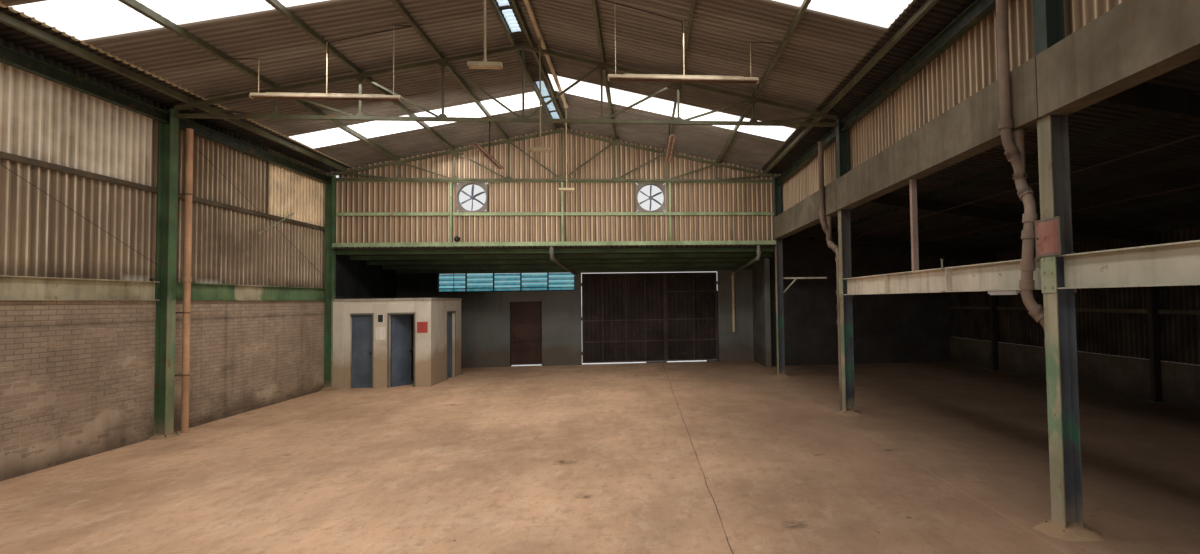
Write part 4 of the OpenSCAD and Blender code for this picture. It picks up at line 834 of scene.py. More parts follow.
def brick_walls():
    rng = random.Random(11)
    length, height = BRICK[0] + JOINT, BRICK[1] + JOINT
    walls = [("left_brick_wall", "side_block_walls", 0), ("aisle_brick_wall", "side_block_walls", 1),
             ("front_brick_wall", "front_block_wall", 0)]
    for name, node, number in walls:
        low, high = solids(node)[number]
        run = 0 if high[0] - low[0] > high[1] - low[1] else 1
        deep = 1 - run
        shape = Shape()
        course, z = 0, low[2]
        while z < high[2] - 0.02:
            u = low[run] - (length / 2 if course % 2 else 0)
            while u < high[run] - 0.02:
                ends = (max(u, low[run]), min(u + BRICK[0], high[run]))
                if ends[1] - ends[0] > 0.03:
                    face = (low[deep] + rng.uniform(0, 0.003), high[deep] - rng.uniform(0, 0.003))
                    shape.brick(run, ends, (z, min(z + BRICK[1], high[2])), face)
                u += length
            course += 1
            z += height
        core_low, core_high = list(low), list(high)
        core_low[deep] += MORTAR_SET
        core_high[deep] -= MORTAR_SET
        core_low[run] += MORTAR_SET
        core_high[run] -= MORTAR_SET
        core_high[2] -= MORTAR_SET
        shape.block(core_low, core_high, 0.002, slot=1)
        shape.piece(name, "blockwork mortar", replaces=[node], slot="blockwork")


# Steelwork

def base_plates():
    """Plates with bolts under the columns and the aisle's posts."""
    shape = Shape()
    for node, reach in (("left_columns", (0.0, 0.06)), ("right_columns", (0.07, 0.07)),
                        ("aisle_posts", (0.07, 0.0))):
        for low, high in solids(node):
            if low[2] > FLOOR_Z + 0.1:
                continue
            a = (low[0] - reach[0], low[1] - 0.06, FLOOR_Z)
            b = (high[0] + reach[1], high[1] + 0.06, FLOOR_Z + 0.018)
            shape.block(a, b, 0.003)
            for x in (a[0] + 0.035, b[0] - 0.035):
                for y in (a[1] + 0.03, b[1] - 0.03):
                    shape.disc((x, y, b[2]), Z, 0.022, 0.004, 16, slot=1)
                    shape.disc((x, y, b[2] + 0.004), Z, 0.016, 0.014, 6, slot=1)
                    shape.tube([(x, y, b[2] + 0.018), (x, y, b[2] + 0.036)], 0.008, 10, slot=1)
    shape.piece("base_plates", "green_paint dark_steel", slot="green_paint")


def gussets():
    """Plates on both sides of the web bars where they meet the chords."""
    shape = Shape()
    low_z = CHORD_Z + CHORD / 2
    for y, side, i, face in product(FRAMES_Y, (-1, 1), range(5), (-1, 1)):
        x = RIDGE_X + side * i * PANEL
        top = top_chord(i * PANEL) - CHORD / 2 / math.cos(PITCH)
        dx = 0.09 * side
        fall = dx * math.tan(PITCH) * side
        outlines = []
        if i < 4:
            outlines.append([(x - dx, low_z), (x + dx, low_z), (x + dx * 0.55, low_z + 0.065),
                             (x - dx * 0.55, low_z + 0.065)])
            if i > 0:
                outlines.append([(x - dx, top + fall), (x + dx, top - fall), (x + dx * 0.5, top - 0.06),
                                 (x - dx * 0.5, top - 0.06)])
        else:
            outlines.append([(x - dx, top + fall), (x, top), (x - 0.3 * dx, top - 0.04),
                             (x - 0.9 * dx, top - 0.04)])
        y0, y1 = y + face * 0.0205, y + face * 0.0265
        for outline in outlines:
            shape.prism([(a, y0, b) for a, b in outline], (0, y1 - y0, 0))
    shape.piece("truss_plates", "truss_paint", slot="green_paint")


def purlin_cleats():
    """Short angles on the top chords, each bolted to the back of a purlin."""
    shape = Shape()
    seat = CHORD / 2 / math.cos(PITCH)
    for y in FRAMES_Y:
        for side in (-1, 1):
            turn = Matrix.Rotation(side * PITCH, 4, "Y")
            for i in range(1, 5):
                x = i * PANEL - (0.06 if i == 4 else 0.0)
                place = Matrix.Translation(Vector((RIDGE_X + side * x, y, top_chord(x) + seat))) @ turn
                back = -side * 0.009
                for a, b in (((back, -0.04, 0.001), (back - side * 0.006, 0.04, 0.095)),
                             ((back, -0.035, 0.001), (back - side * 0.06, 0.035, 0.007))):
                    low = [min(a[k], b[k]) for k in range(3)]
                    high = [max(a[k], b[k]) for k in range(3)]
                    shape.block(low, high, 0.001, place=place)
    shape.piece("purlin_cleats", "green_paint", slot="green_paint")


def collars():
    """Bolted plates on the right columns where the middle beams meet them."""
    shape = Shape()
    beam = [b for b in solids("mid_beams") if b[1][1] - b[0][1] > 1.0][0]
    for low, high in solids("right_columns")[:-1]:
        for x0, x1 in ((low[0] - 0.01, low[0]), (high[0], high[0] + 0.01)):
            shape.block((x0, low[1] - 0.012, beam[0][2] - 0.04), (x1, high[1] + 0.012, beam[1][2] + 0.03),
                        0.002)
        for y in (low[1] + 0.04, high[1] - 0.04):
            for z in (beam[0][2] + 0.02, beam[0][2] + 0.17, beam[1][2] - 0.03):
                shape.disc((low[0] - 0.01, y, z), -X, 0.018, 0.01, 6, slot=1)
    shape.piece("column_collars", "collar_paint collar_paint")


# Pipes

PIPE_R = 0.06
DRAIN_R = 0.055
PIPE_TOP = 5.8897
LEFT_PIPE_X = -6.445
LEFT_PIPE_BEHIND = 0.34
WALL_FACE_X = -6.675


def bent(points, bend, steps=6):
    """The route with each corner turned into an arc of short lengths."""
    points = [Vector(p) for p in points]
    route = [points[0]]
    for before, corner, after in zip(points, points[1:], points[2:]):
        back, ahead = before - corner, after - corner
        reach = min(bend, back.length * 0.45, ahead.length * 0.45)
        back, ahead = back.normalized() * reach, ahead.normalized() * reach
        for k in range(steps + 1):
            t = k / steps
            route.append(corner + back * (1 - t) ** 2 + ahead * t ** 2)
    return route + [points[-1]]


def pipe_line(shape, points, radius, pitch=2.9):
    """A pipe with a wider socket on both sides of each bend and along its long lengths."""
    bend = 2.0 * radius
    collar = radius + 0.015
    shape.tube(bent(points, bend), radius - 0.002, 20)
    for before, corner, after in zip(points, points[1:], points[2:]):
        for other in (before, after):
            way = other - corner
            start = corner + way.normalized() * min(bend, way.length * 0.4)
            length = min(0.095, way.length * 0.25)
            shape.tube([start, start + way.normalized() * length], collar, 20)
    for a, b in zip(points, points[1:]):
        way = (b - a).normalized()
        count = int((b - a).length // pitch)
        for k in range(1, count + 1):
            if (b - a).length - k * pitch > 0.3:
                socket = a + way * (k * pitch)
                shape.tube([socket, socket + way * 0.09], collar, 20)


def pipe_clip(shape, centre, radius, wall):
    """A steel band around an upright pipe, with its tail to the wall."""
    shape.disc(centre - Z * 0.015, Z, radius + 0.006, 0.03, 24, slot=1, bore=radius - 0.001)
    away = Vector(wall) - centre
    start = centre + away.normalized() * radius
    shape.bar(start, wall, 0.03, 0.03, 0.001, slot=1)


def downpipes():
    left = Shape()
    for y in FRAMES[1:4]:
        foot = at(LEFT_PIPE_X, y + LEFT_PIPE_BEHIND, 0)
        pipe_line(left, [foot, foot + Z * PIPE_TOP], PIPE_R)
        for z in (1.1, 2.3, 4.6):
            spot = foot + Z * z
            pipe_clip(left, spot, PIPE_R, Vector((RIDGE_X + WALL_FACE_X, spot.y, spot.z)))
    left.piece("left_downpipes", "pipe_paint conduit_paint", smooth=True, replaces=["downpipes"])
    right = Shape()
    for number, y in enumerate(FRAMES[1:4]):
        last = number == 2
        top_y = y + (0.8 if last else 0.45)
        out_y = y + (0.172 if last else 0.31)
        end_y = y + (0.172 if last else 0.125)
        out_x, end_x = (6.5, 6.5) if last else (6.4257, 6.575)
        bow = 0.0 if last else 0.03
        swan = [] if last else [at(6.5, out_y - bow, 3.38), at(out_x, out_y - 2 * bow, 2.87)]
        pipe_line(right, [at(6.3517, top_y, PIPE_TOP), at(6.3517, top_y, 4.12), at(6.5, top_y, 3.8),
                          at(6.5, top_y, 3.62)] + (swan or [at(out_x, out_y, 3.38)])
                  + [at(out_x, out_y, 2.34), at(end_x, end_y, 2.05), at(end_x, end_y, 0)], PIPE_R)
        branch = at(6.5, top_y, 3.8)
        right.tube([branch, branch + Z * 0.43], PIPE_R - 0.002, 20)
        right.tube([branch + Z * 0.34, branch + Z * 0.41], PIPE_R + 0.007, 20)
    right.piece("right_downpipes", "pipe_brown conduit_paint", smooth=True, replaces=["downpipes"])
    drains = Shape()
    gable_y = FRAMES[4] - 0.2153
    pipe_line(drains, [at(-0.29, gable_y, 4.03), at(-0.29, gable_y, 3.7), at(-0.12, 30.166, 3.43)],
              DRAIN_R)
    pipe_line(drains, [at(5.91, gable_y, 4.03), at(5.91, gable_y, 3.65), at(5.91, 30.1117, 3.43),
                       at(5.91, 30.1117, 1.13)], DRAIN_R, 1.2)
    drains.piece("annex_drains", "pipe_grey dark_steel", smooth=True, replaces=["downpipes"])


# Lamps

def purlin_near(x):
    """The roof purlin nearest to a place across the roof, lowest and highest corner."""
    return min(solids("roof_purlins"), key=lambda b: abs((b[0][0] + b[1][0]) / 2 - x))


ROD_SHARE = 0.45


def batten(housing, low, high):
    """A long twin lamp with a folded reflector, hung by three rods from arms on the purlins."""
    y, z = (low[1] + high[1]) / 2, low[2]
    for x0, x1, width, z0, z1 in ((low[0], high[0], 0.052, 0.045, 0.09),
                                  (low[0] + 0.25, high[0] - 0.25, 0.06, 0.088, 0.1)):
        housing.block((x0, y - width / 2, z + z0), (x1, y + width / 2, z + z1), 0.003)
    fold = ((-0.026, 0.05), (-0.06, 0.022), (-0.06, 0.016), (0, 0.038), (0.06, 0.016), (0.06, 0.022),
            (0.026, 0.05))
    housing.prism([(low[0], y + dy, z + dz) for dy, dz in fold], (high[0] - low[0], 0, 0), slot=1)
    for dy in (-0.028, 0.028):
        housing.tube([(low[0] + 0.03, y + dy, z + 0.014), (high[0] - 0.03, y + dy, z + 0.014)], 0.013, 12,
                     slot=1)
        for x in (low[0] + 0.012, high[0] - 0.012):
            housing.block((x - 0.012, y + dy - 0.014, z), (x + 0.012, y + dy + 0.014, z + 0.046), 0.002)
    middle = (low[0] + high[0]) / 2
    for x, radius in ((middle - ROD_SHARE * (high[0] - low[0]), 0.006), (middle, 0.01),
                      (middle + ROD_SHARE * (high[0] - low[0]), 0.006)):
        a, b = purlin_near(x)
        edge = a[0] if x < a[0] else b[0]
        arm_z = a[2] + 0.03
        housing.tube([(x, y, z + 0.088), (x, y, arm_z)], radius, 8, slot=2)
        if a[0] <= x <= b[0]:
            continue
        housing.bar((edge, y, arm_z), (x + (0.02 if x > edge else -0.02), y, arm_z), 0.03, 0.006, 0.001,
                    slot=3)
    side = 1 if middle > RIDGE_X else -1
    inner, feed_x = purlin_near(RIDGE_X + side * PANEL), middle - side * 0.012
    edge = inner[1].x if side > 0 else inner[0].x
    feed = [(feed_x, y, purlin_near(middle)[0][2] - 0.25), (feed_x, y, purlin_near(middle)[0][2] + 0.02),
            (edge, y, inner[0].z + 0.03)]
    housing.tube(bent(feed, 0.05), 0.009, 8, slot=3)


def lamp_lines():
    battens, pendants, twins = Shape(), Shape(), Shape()
    for low, high in solids("lamps"):
        width = high[0] - low[0]
        if width > 2.0:
            batten(battens, low, high)
        elif width < 0.2:
            twin_lamp(twins, low, high)
        else:
            pendant_row(pendants, low, high)
    battens.piece("batten_lamps", "lamp_housing lamp_brown ridge_conduit_paint dark_steel", smooth=True,
                  replaces=["lamps"])
    pendants.piece("pendant_lamps", "pendant_housing ridge_conduit_paint", smooth=True, replaces=["lamps"])
    twins.piece("twin_lamps", "twin_housing lamp_tube dark_steel", smooth=True, replaces=["lamps"])


def pendant_row(shape, low, high):
    """Short lamps on stems under one long conduit, with a socket on both sides of each stem."""
    x = (low[0] + high[0]) / 2
    top = high[2] - 0.04
    shape.tube([(x, low[1], top), (x, high[1] - 0.06, top)], 0.044, 16, slot=1)
    for k in range(6):
        y = FRONT_Y + 22.7 - 4.2 * k
        z = low[2]
        for part in (-1, 1):
            shape.disc((x, y + part * 0.05, top), Y * part, 0.049, 0.04, 16, slot=1)
        shape.tube([(x, y, top), (x, y, z + 0.075)], 0.014, 12)
        shape.tube([(x, y, z + 0.058), (x, y, z + 0.1)], 0.022, 12)
        outline = [(-0.03, 0.06), (-0.055, 0.012), (-0.06, 0), (0.06, 0), (0.055, 0.012), (0.03, 0.06)]
        shape.prism([(x - 0.2, y + dy, z + dz) for dy, dz in outline], (0.4, 0, 0))
        for dy in (-0.03, 0.03):
            shape.tube([(x - 0.17, y + dy, z + 0.002), (x + 0.17, y + dy, z + 0.002)], 0.011, 10, slot=1)


def twin_lamp(shape, low, high):
    """Two tubes on a narrow channel along the hall, hung from a truss by a stem and two thin wires."""
    x, y0, y1, z = (low[0] + high[0]) / 2, low[1], high[1], low[2]
    shape.block((x - 0.03, y0, z + 0.034), (x + 0.03, y1, z + 0.06), 0.003)
    fold = ((-0.03, 0.04), (-0.072, 0.02), (-0.072, 0.016), (0, 0.036), (0.072, 0.016), (0.072, 0.02),
            (0.03, 0.04))
    shape.prism([(x + dx, y0, z + dz) for dx, dz in fold], (0, y1 - y0, 0))
    for dx in (-0.04, 0.04):
        shape.tube([(x + dx, y0 + 0.02, z + 0.014), (x + dx, y1 - 0.02, z + 0.014)], 0.0135, 12, slot=1)
        for y in (y0 + 0.012, y1 - 0.012):
            shape.block((x + dx - 0.014, y - 0.012, z), (x + dx + 0.014, y + 0.012, z + 0.04), 0.002)
    hanger = min(FRAMES_Y, key=lambda y: abs(y - (y0 + y1) / 2))
    shape.tube([(x, hanger, z + 0.055), (x, hanger, CHORD_Z - CHORD / 2)], 0.012, 10, slot=2)
    for y in (y0 + 0.12, y1 - 0.12):
        shape.tube([(x, y, z + 0.058), (x, hanger + (0.03 if y > hanger else -0.03), CHORD_Z - CHORD / 2)],
                   0.003, 6, slot=2)


# Fans

def fan_housings():
    """Square plates with a rolled mouth, a short duct, and a motor on three bars behind the blades."""
    shape = Shape()
    bore, sides = 0.4, 48
    for low, high in solids("fan_frames"):
        centre = Vector(((low[0] + high[0]) / 2, low[1], (low[2] + high[2]) / 2))
        deep, half = high[1] - low[1], (high[0] - low[0]) / 2

        def ring(depth, reach, ahead=0.0):
            return [(centre.x + math.cos(a) * reach(a), centre.y + depth, centre.z + math.sin(a) * reach(a))
                    for a in ring_turns(sides, ahead)]

        def square(a):
            return half / max(abs(math.cos(a)), abs(math.sin(a)))

        for near, far in ((0.0, 0.003), (deep - 0.003, deep)):
            corners = [c for depth, reach in ((near, square), (far, square), (far, lambda a: bore + 0.03),
                                              (near, lambda a: bore + 0.03))
                       for c in ring(depth, reach, 0.5)]
            shape.add(corners, band_faces(4, sides, closed=True))
        mouth = [(0.003, 0.031), (0.0, 0.026), (0.0, 0.016), (0.02, 0.006), (0.05, 0.002),
                 (deep - 0.04, 0.002), (deep - 0.001, 0.03)]
        corners = [c for depth, wide in mouth for c in ring(depth, lambda a: bore + wide)]
        shape.add(corners, band_faces(len(mouth), sides))
        for sx, sz in product((-1, 1), repeat=2):
            bolt = centre + X * (sx * (half - 0.05)) + Z * (sz * (half - 0.05))
            shape.disc(bolt, -Y, 0.02, 0.004, 16, slot=1)
            shape.disc(bolt - Y * 0.004, -Y, 0.012, 0.009, 6, slot=1)
        motor = centre + Y * (deep - 0.052)
        shape.disc(motor, Y, 0.055, 0.05, 24, slot=2)
        for turn in ring_turns(3, 0.75):
            rim = motor + Y * 0.03 + (X * math.cos(turn) + Z * math.sin(turn)) * (bore + 0.01)
            shape.tube([motor + Y * 0.03, rim], 0.007, 8, slot=2)
    shape.piece("fan_housings", "fan_metal bolt_white dark_steel", smooth=True, replaces=["fan_frames"])


def fan_rotors():
    """Hub and six thin blades, twisted from root to tip."""
    root, stations = 0.055, 8
    for node, body in (("fan_left", "left_fan"), ("fan_right", "right_fan")):
        low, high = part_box(node)
        shape = Shape()
        centre = Vector([(low[i] + high[i]) / 2 for i in range(3)])
        tip = (high[2] - low[2]) / 2
        for ahead, radius, deep, sides in ((0.012, 0.06, high[1] - low[1] - 0.03, 24), (0.002, 0.04, 0.012, 24),
                                           (0.0, 0.012, 0.004, 6)):
            shape.disc(Vector((centre.x, low[1] + ahead, centre.z)), Y, radius, deep, sides)
        for blade in range(6):
            turn = Matrix.Translation(centre) @ Matrix.Rotation(blade * math.pi / 3, 4, "Y")
            corners, faces = [], []
            for i in range(stations + 1):
                t = i / stations
                pitch = math.radians(62 - 22 * t)
                width = 0.05 + 0.03 * math.sin(math.pi * min(1.0, 0.35 + 0.6 * t))
                across = Vector((math.cos(pitch), math.sin(pitch), 0))
                normal = Vector((-math.sin(pitch), math.cos(pitch), 0))
                for u in (-0.5, 0.0, 0.5):
                    bow = 0.006 * (1 - 4 * u * u)
                    spot = Z * (root + (tip - root) * t) + across * (u * width + 0.03 * t * t) + normal * bow
                    corners += [turn @ (spot - normal * 0.0015), turn @ (spot + normal * 0.0015)]
            for i in range(stations):
                a, b = i * 6, (i + 1) * 6
                for j in (0, 2):
                    faces += [(a + j, a + j + 2, b + j + 2, b + j),
                              (a + j + 1, a + j + 3, b + j + 3, b + j + 1)]
                faces += [(a, a + 1, b + 1, b), (a + 4, a + 5, b + 5, b + 4)]
            for end in (0, stations * 6):
                faces += [(end, end + 2, end + 3, end + 1), (end + 2, end + 4, end + 5, end + 3)]
            shape.add(corners, faces)
        shape.piece(node + "_blades", "fan_blade", body=body, smooth=True, replaces=[node])


# Louvres, doors and gates

def louvres():
    """Five panels of sloping glass slats in a thin steel frame."""
    low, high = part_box("louvre_window")
    frame_shape, glass = Shape(), Shape()
    panels = 5
    wide = (high[0] - low[0]) / panels
    bar = 0.035
    for z0, z1 in ((low[2], low[2] + bar), (high[2] - bar, high[2]), (low[2] + 0.13, low[2] + 0.15)):
        frame_shape.block((low[0], low[1], z0), (high[0], high[1], z1), 0.003)
    for k in range(panels + 1):
        x = low[0] + k * wide
        x0, x1 = max(low[0], x - bar * 0.7), min(high[0], x + bar * 0.7)
        frame_shape.block((x0, low[1] - 0.001, low[2]), (x1, high[1] + 0.001, high[2]), 0.003)
    x = low[0] + wide * 0.55
    frame_shape.block((x - 0.008, low[1], low[2]), (x + 0.008, low[1] + 0.012, high[2]), 0.001)
    rows = 6
    start, end = low[2] + 0.15, high[2] - bar
    tall = (end - start) / rows
    for panel in range(panels):
        x0, x1 = low[0] + panel * wide + bar * 0.6, low[0] + (panel + 1) * wide - bar * 0.6
        for row in range(rows):
            z = start + row * tall
            glass.prism([(x0, low[1] + 0.012, z + 0.004), (x0, low[1] + 0.016, z + 0.002),
                         (x0, high[1] - 0.012, z + tall * 0.86), (x0, high[1] - 0.016, z + tall * 0.9)],
                        (x1 - x0, 0, 0), slot=(panel + row) % 2)
            frame_shape.block((x0, low[1] + 0.006, z - 0.006), (x1, low[1] + 0.022, z + 0.008), 0.001)
        glass.prism([(x0, low[1] + 0.02, low[2] + bar), (x0, low[1] + 0.026, low[2] + bar),
                     (x0, low[1] + 0.026, low[2] + 0.13), (x0, low[1] + 0.02, low[2] + 0.13)],
                    (x1 - x0, 0, 0), slot=1)
    frame_shape.piece("louvre_frame", "dark_steel", replaces=["louvre_window"])
    glass.piece("louvre_slats", "louvre_glass louvre_glass_dim", replaces=["louvre_window"])


def gate_rails():
    """Angles, posts, rails, ribs and bolts on the gate's leaves, on the hall's side."""
    for node, body in (("gate_left", "left_gate_leaf"), ("gate_right", "right_gate_leaf")):
        low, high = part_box(node)
        face = low[1] + 0.001
        left = node == "gate_left"
        x0, x1 = (low[0] + 0.03, high[0]) if left else (low[0], high[0] - 0.03)
        shape = Shape()
        proud = 0.028

        def strip(xa, xb, za, zb, out=proud, slot=0):
            shape.block((xa, face - out, za), (xb, face, zb), 0.003, slot)

        strip(x0, x0 + 0.05, low[2], high[2])
        strip(x1 - 0.05, x1, low[2], high[2])
        strip(x0 + 0.05, x1 - 0.05, high[2] - 0.05, high[2])
        strip(x0 + 0.05, x1 - 0.05, low[2], low[2] + 0.05)
        posts = (0.87, 1.75, 2.48) if left else (4.36,)
        rails = (0.85, 1.66) if left else (0.85, 1.66, 2.74)
        for x in posts:
            strip(RIDGE_X + x - 0.02, RIDGE_X + x + 0.02, low[2] + 0.05, high[2] - 0.05, proud * 0.9)
        for z in rails:
            strip(x0 + 0.05, x1 - 0.05, FLOOR_Z + z - 0.02, FLOOR_Z + z + 0.02, proud * 0.95)
        ribs = int((x1 - x0) / 0.16)
        for k in range(1, ribs):
            x = x0 + k * (x1 - x0) / ribs
            shape.prism([(x - 0.012, face, low[2] + 0.05), (x, face - 0.008, low[2] + 0.05),
                         (x + 0.012, face, low[2] + 0.05)], (0, 0, high[2] - low[2] - 0.1), slot=1)
        if not left:
            x, z = RIDGE_X + 4.53, FLOOR_Z + 1.81
            strip(x - 0.1, x + 0.1, z - 0.05, z + 0.05, 0.04, 2)
            shape.tube([(x - 0.16, face - 0.05, z), (x + 0.16, face - 0.05, z)], 0.009, 10, slot=2)
            shape.tube([(x + 0.1, face - 0.05, z), (x + 0.1, face - 0.08, z - 0.03),
                        (x + 0.1, face - 0.05, z - 0.08)], 0.006, 8, slot=2)
            a = x0 + 0.16
            shape.tube([(a, face - 0.04, low[2] + 0.01), (a, face - 0.04, low[2] + 0.6)], 0.009, 10, slot=2)
            for z in (low[2] + 0.12, low[2] + 0.5):
                strip(a - 0.03, a + 0.03, z - 0.02, z + 0.02, 0.045, 2)
        shape.piece(node + "_rails", "gate_rail_paint gate_steel dark_steel", body=body)


def door_stops():
    """Stop bars and sill blocks in the back wall's openings, and a cover strip on the gate's meeting edge."""
    shape = Shape()
    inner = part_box("back_door")[0][1]
    a, b, head = RIDGE_X - 2.59, RIDGE_X - 1.41, FLOOR_Z + 2.43
    shape.block((a, inner - 0.028, head - 0.035), (b, inner - 0.003, head))
    for x in (a, b - 0.03):
        shape.block((x, inner - 0.028, FLOOR_Z), (x + 0.03, inner - 0.003, head - 0.035))
    low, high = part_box("gate_right")
    edge, face = RIDGE_X + 5.32, low[1]
    shape.block((edge - 0.035, face - 0.03, FLOOR_Z), (edge, face - 0.003, FLOOR_Z + 2.74))
    for x0, x1 in ((2.5, 3.3), (4.85, 5.3)):
        shape.block((RIDGE_X + x0, face, FLOOR_Z), (RIDGE_X + x1, face + 0.06, FLOOR_Z + 0.04), 0.006, slot=1)
    shape.piece("door_stops", "gate_steel annex_plaster")
    cover = Shape()
    cover.block((low[0] - 0.0108, face + 0.046, low[2] + 0.005),
                (low[0] - 0.0002, face + 0.058, high[2] - 0.005), 0.001)
    cover.piece("gate_edge_strip", "gate_steel", body="right_gate_leaf")


def gate_straps():
    """Hinge straps, a kick plate and pulls on the outer faces of the gate's leaves and the back door."""
    for node, body, side in (("gate_left", "left_gate_leaf", 1), ("gate_right", "right_gate_leaf", -1),
                             ("back_door", "back_door_leaf", 1)):
        low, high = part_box(node)
        outer = low[1] + 0.06
        reach = 0.9 if "gate" in node else 0.42
        hinge = low[0] + 0.055 if side > 0 else high[0] - 0.055
        shape = Shape()
        for z in (low[2] + 0.3, (low[2] + high[2]) / 2, high[2] - 0.3):
            a, b = sorted((hinge, hinge + side * reach))
            shape.block((a, outer, z - 0.025), (b, outer + 0.005, z + 0.025), 0.001)
            for share in (0.15, 0.45, 0.75, 0.95):
                shape.disc((hinge + side * reach * share, outer + 0.005, z), Y, 0.009, 0.004, 8)
        edge = high[0] - 0.12 if side > 0 else low[0] + 0.12
        pull = [(edge, outer + out, FLOOR_Z + z) for out, z in ((0, 1.0), (0.045, 1.0), (0.045, 1.2), (0, 1.2))]
        shape.tube(bent(pull, 0.015), 0.008, 10)
        if node == "back_door":
            shape.block((low[0] + 0.06, outer, low[2] + 0.02),
                        (high[0] - 0.02, outer + 0.002, low[2] + 0.26), 0.0005)
        shape.piece(node + "_straps", "dark_steel", body=body)


def met(node, x, y, z, way):
    """Height at which a straight line from a place, up or down, meets a node."""
    return BVHTree.FromPolygons(*node_mesh(node)).ray_cast(Vector((x, y, z)), way, 40.0)[0].z


def corner_trims():
    """Folded trim on the outer corners of the sheets, and aprons where the lean-to roofs meet walls."""
    shape = Shape()
    thick, wide, clear = 0.0015, 0.09, 0.0003
    front, gable, left = (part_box(node) for node in ("front_cladding", "gable_cladding", "left_cladding"))
    rights = solids("right_cladding")
    upper = [b for b in rights if b[0].x < RIDGE_X + 10]
    outer = [b for b in rights if b[0].x > RIDGE_X + 10]
    y_front, y_back = front[0][1], gable[1][1]
    corners = [(left[0][0], y, left[0][2], left[1][2], -1, sy) for y, sy in ((y_front, -1), (y_back, 1))]
    corners += [(b[1].x, y_front, b[0].z, b[1].z, 1, -1) for b in upper + outer]
    corners += [(b[1].x, y_back, b[0].z, b[1].z, 1, 1) for b in upper]
    for x, y, z0, z1, sx, sy in corners:
        for tx, wx, ty, wy in ((thick, wide, thick + clear, -clear), (thick + clear, -clear, thick, wide)):
            xa, xb = sorted((x + sx * tx, x - sx * wx))
            ya, yb = sorted((y + sy * ty, y - sy * wy))
            shape.block((xa, ya, z0), (xb, yb, z1), 0.0002)
    wall_x, wall_y = max(b[1].x for b in upper) + 0.001, y_back + 0.001
    y0, x0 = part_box("aisle_roof")[0][1] + 0.02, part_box("annex_roof")[0][0] + 0.02
    for node, wall, run, start, end, middle in (("aisle_roof", wall_x, 1, y0, y_back, (y0 + y_back) / 2),
                                                ("annex_roof", wall_y, 0, x0, upper[0][1].x, RIDGE_X)):
        def place(off, along, z):
            return (wall + off, along, z) if run else (along, wall + off, z)

        near, far = (met(node, *place(off, middle, 30.0), -Z) for off in (0.02, 0.2))
        profile = [(0, near + 0.14), (thick, near + 0.14), (thick, near + 0.006), (0.18, far + 0.006),
                   (0.18, far + 0.0045), (0, near + 0.0045)]
        step = end - start
        shape.prism([place(off, start, z) for off, z in profile], (0, step, 0) if run else (step, 0, 0))
    shape.piece("corner_trims", "trim_sheet")


def back_door_rails():
    low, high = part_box("back_door")
    face = low[1] + 0.001
    shape = Shape()
    x0, x1 = low[0] + 0.03, high[0] - 0.004
    for xa, xb, za, zb in ((x0, x0 + 0.05, low[2], high[2]), (x1 - 0.05, x1, low[2], high[2]),
                           (x0 + 0.05, x1 - 0.05, high[2] - 0.05, high[2]),
                           (x0 + 0.05, x1 - 0.05, low[2], low[2] + 0.05),
                           (x0 + 0.05, x1 - 0.05, FLOOR_Z + 0.95, FLOOR_Z + 1.0),
                           (x0 + 0.05, x1 - 0.05, FLOOR_Z + 1.62, FLOOR_Z + 1.67)):
        shape.block((xa, face - 0.02, za), (xb, face, zb), 0.003)
    spot = Vector((x0 + 0.11, face, FLOOR_Z + 1.08))
    shape.block(spot + Vector((-0.02, -0.006, -0.07)), spot + Vector((0.02, 0, 0.07)), 0.002, slot=1)
    shape.tube([spot + Z * 0.02, spot + Vector((0, -0.045, 0.02)), spot + Vector((0.1, -0.05, 0.02))], 0.008,
               10, slot=1)
    shape.piece("back_door_rails", "brown_door_paint dark_steel", body="back_door_leaf")


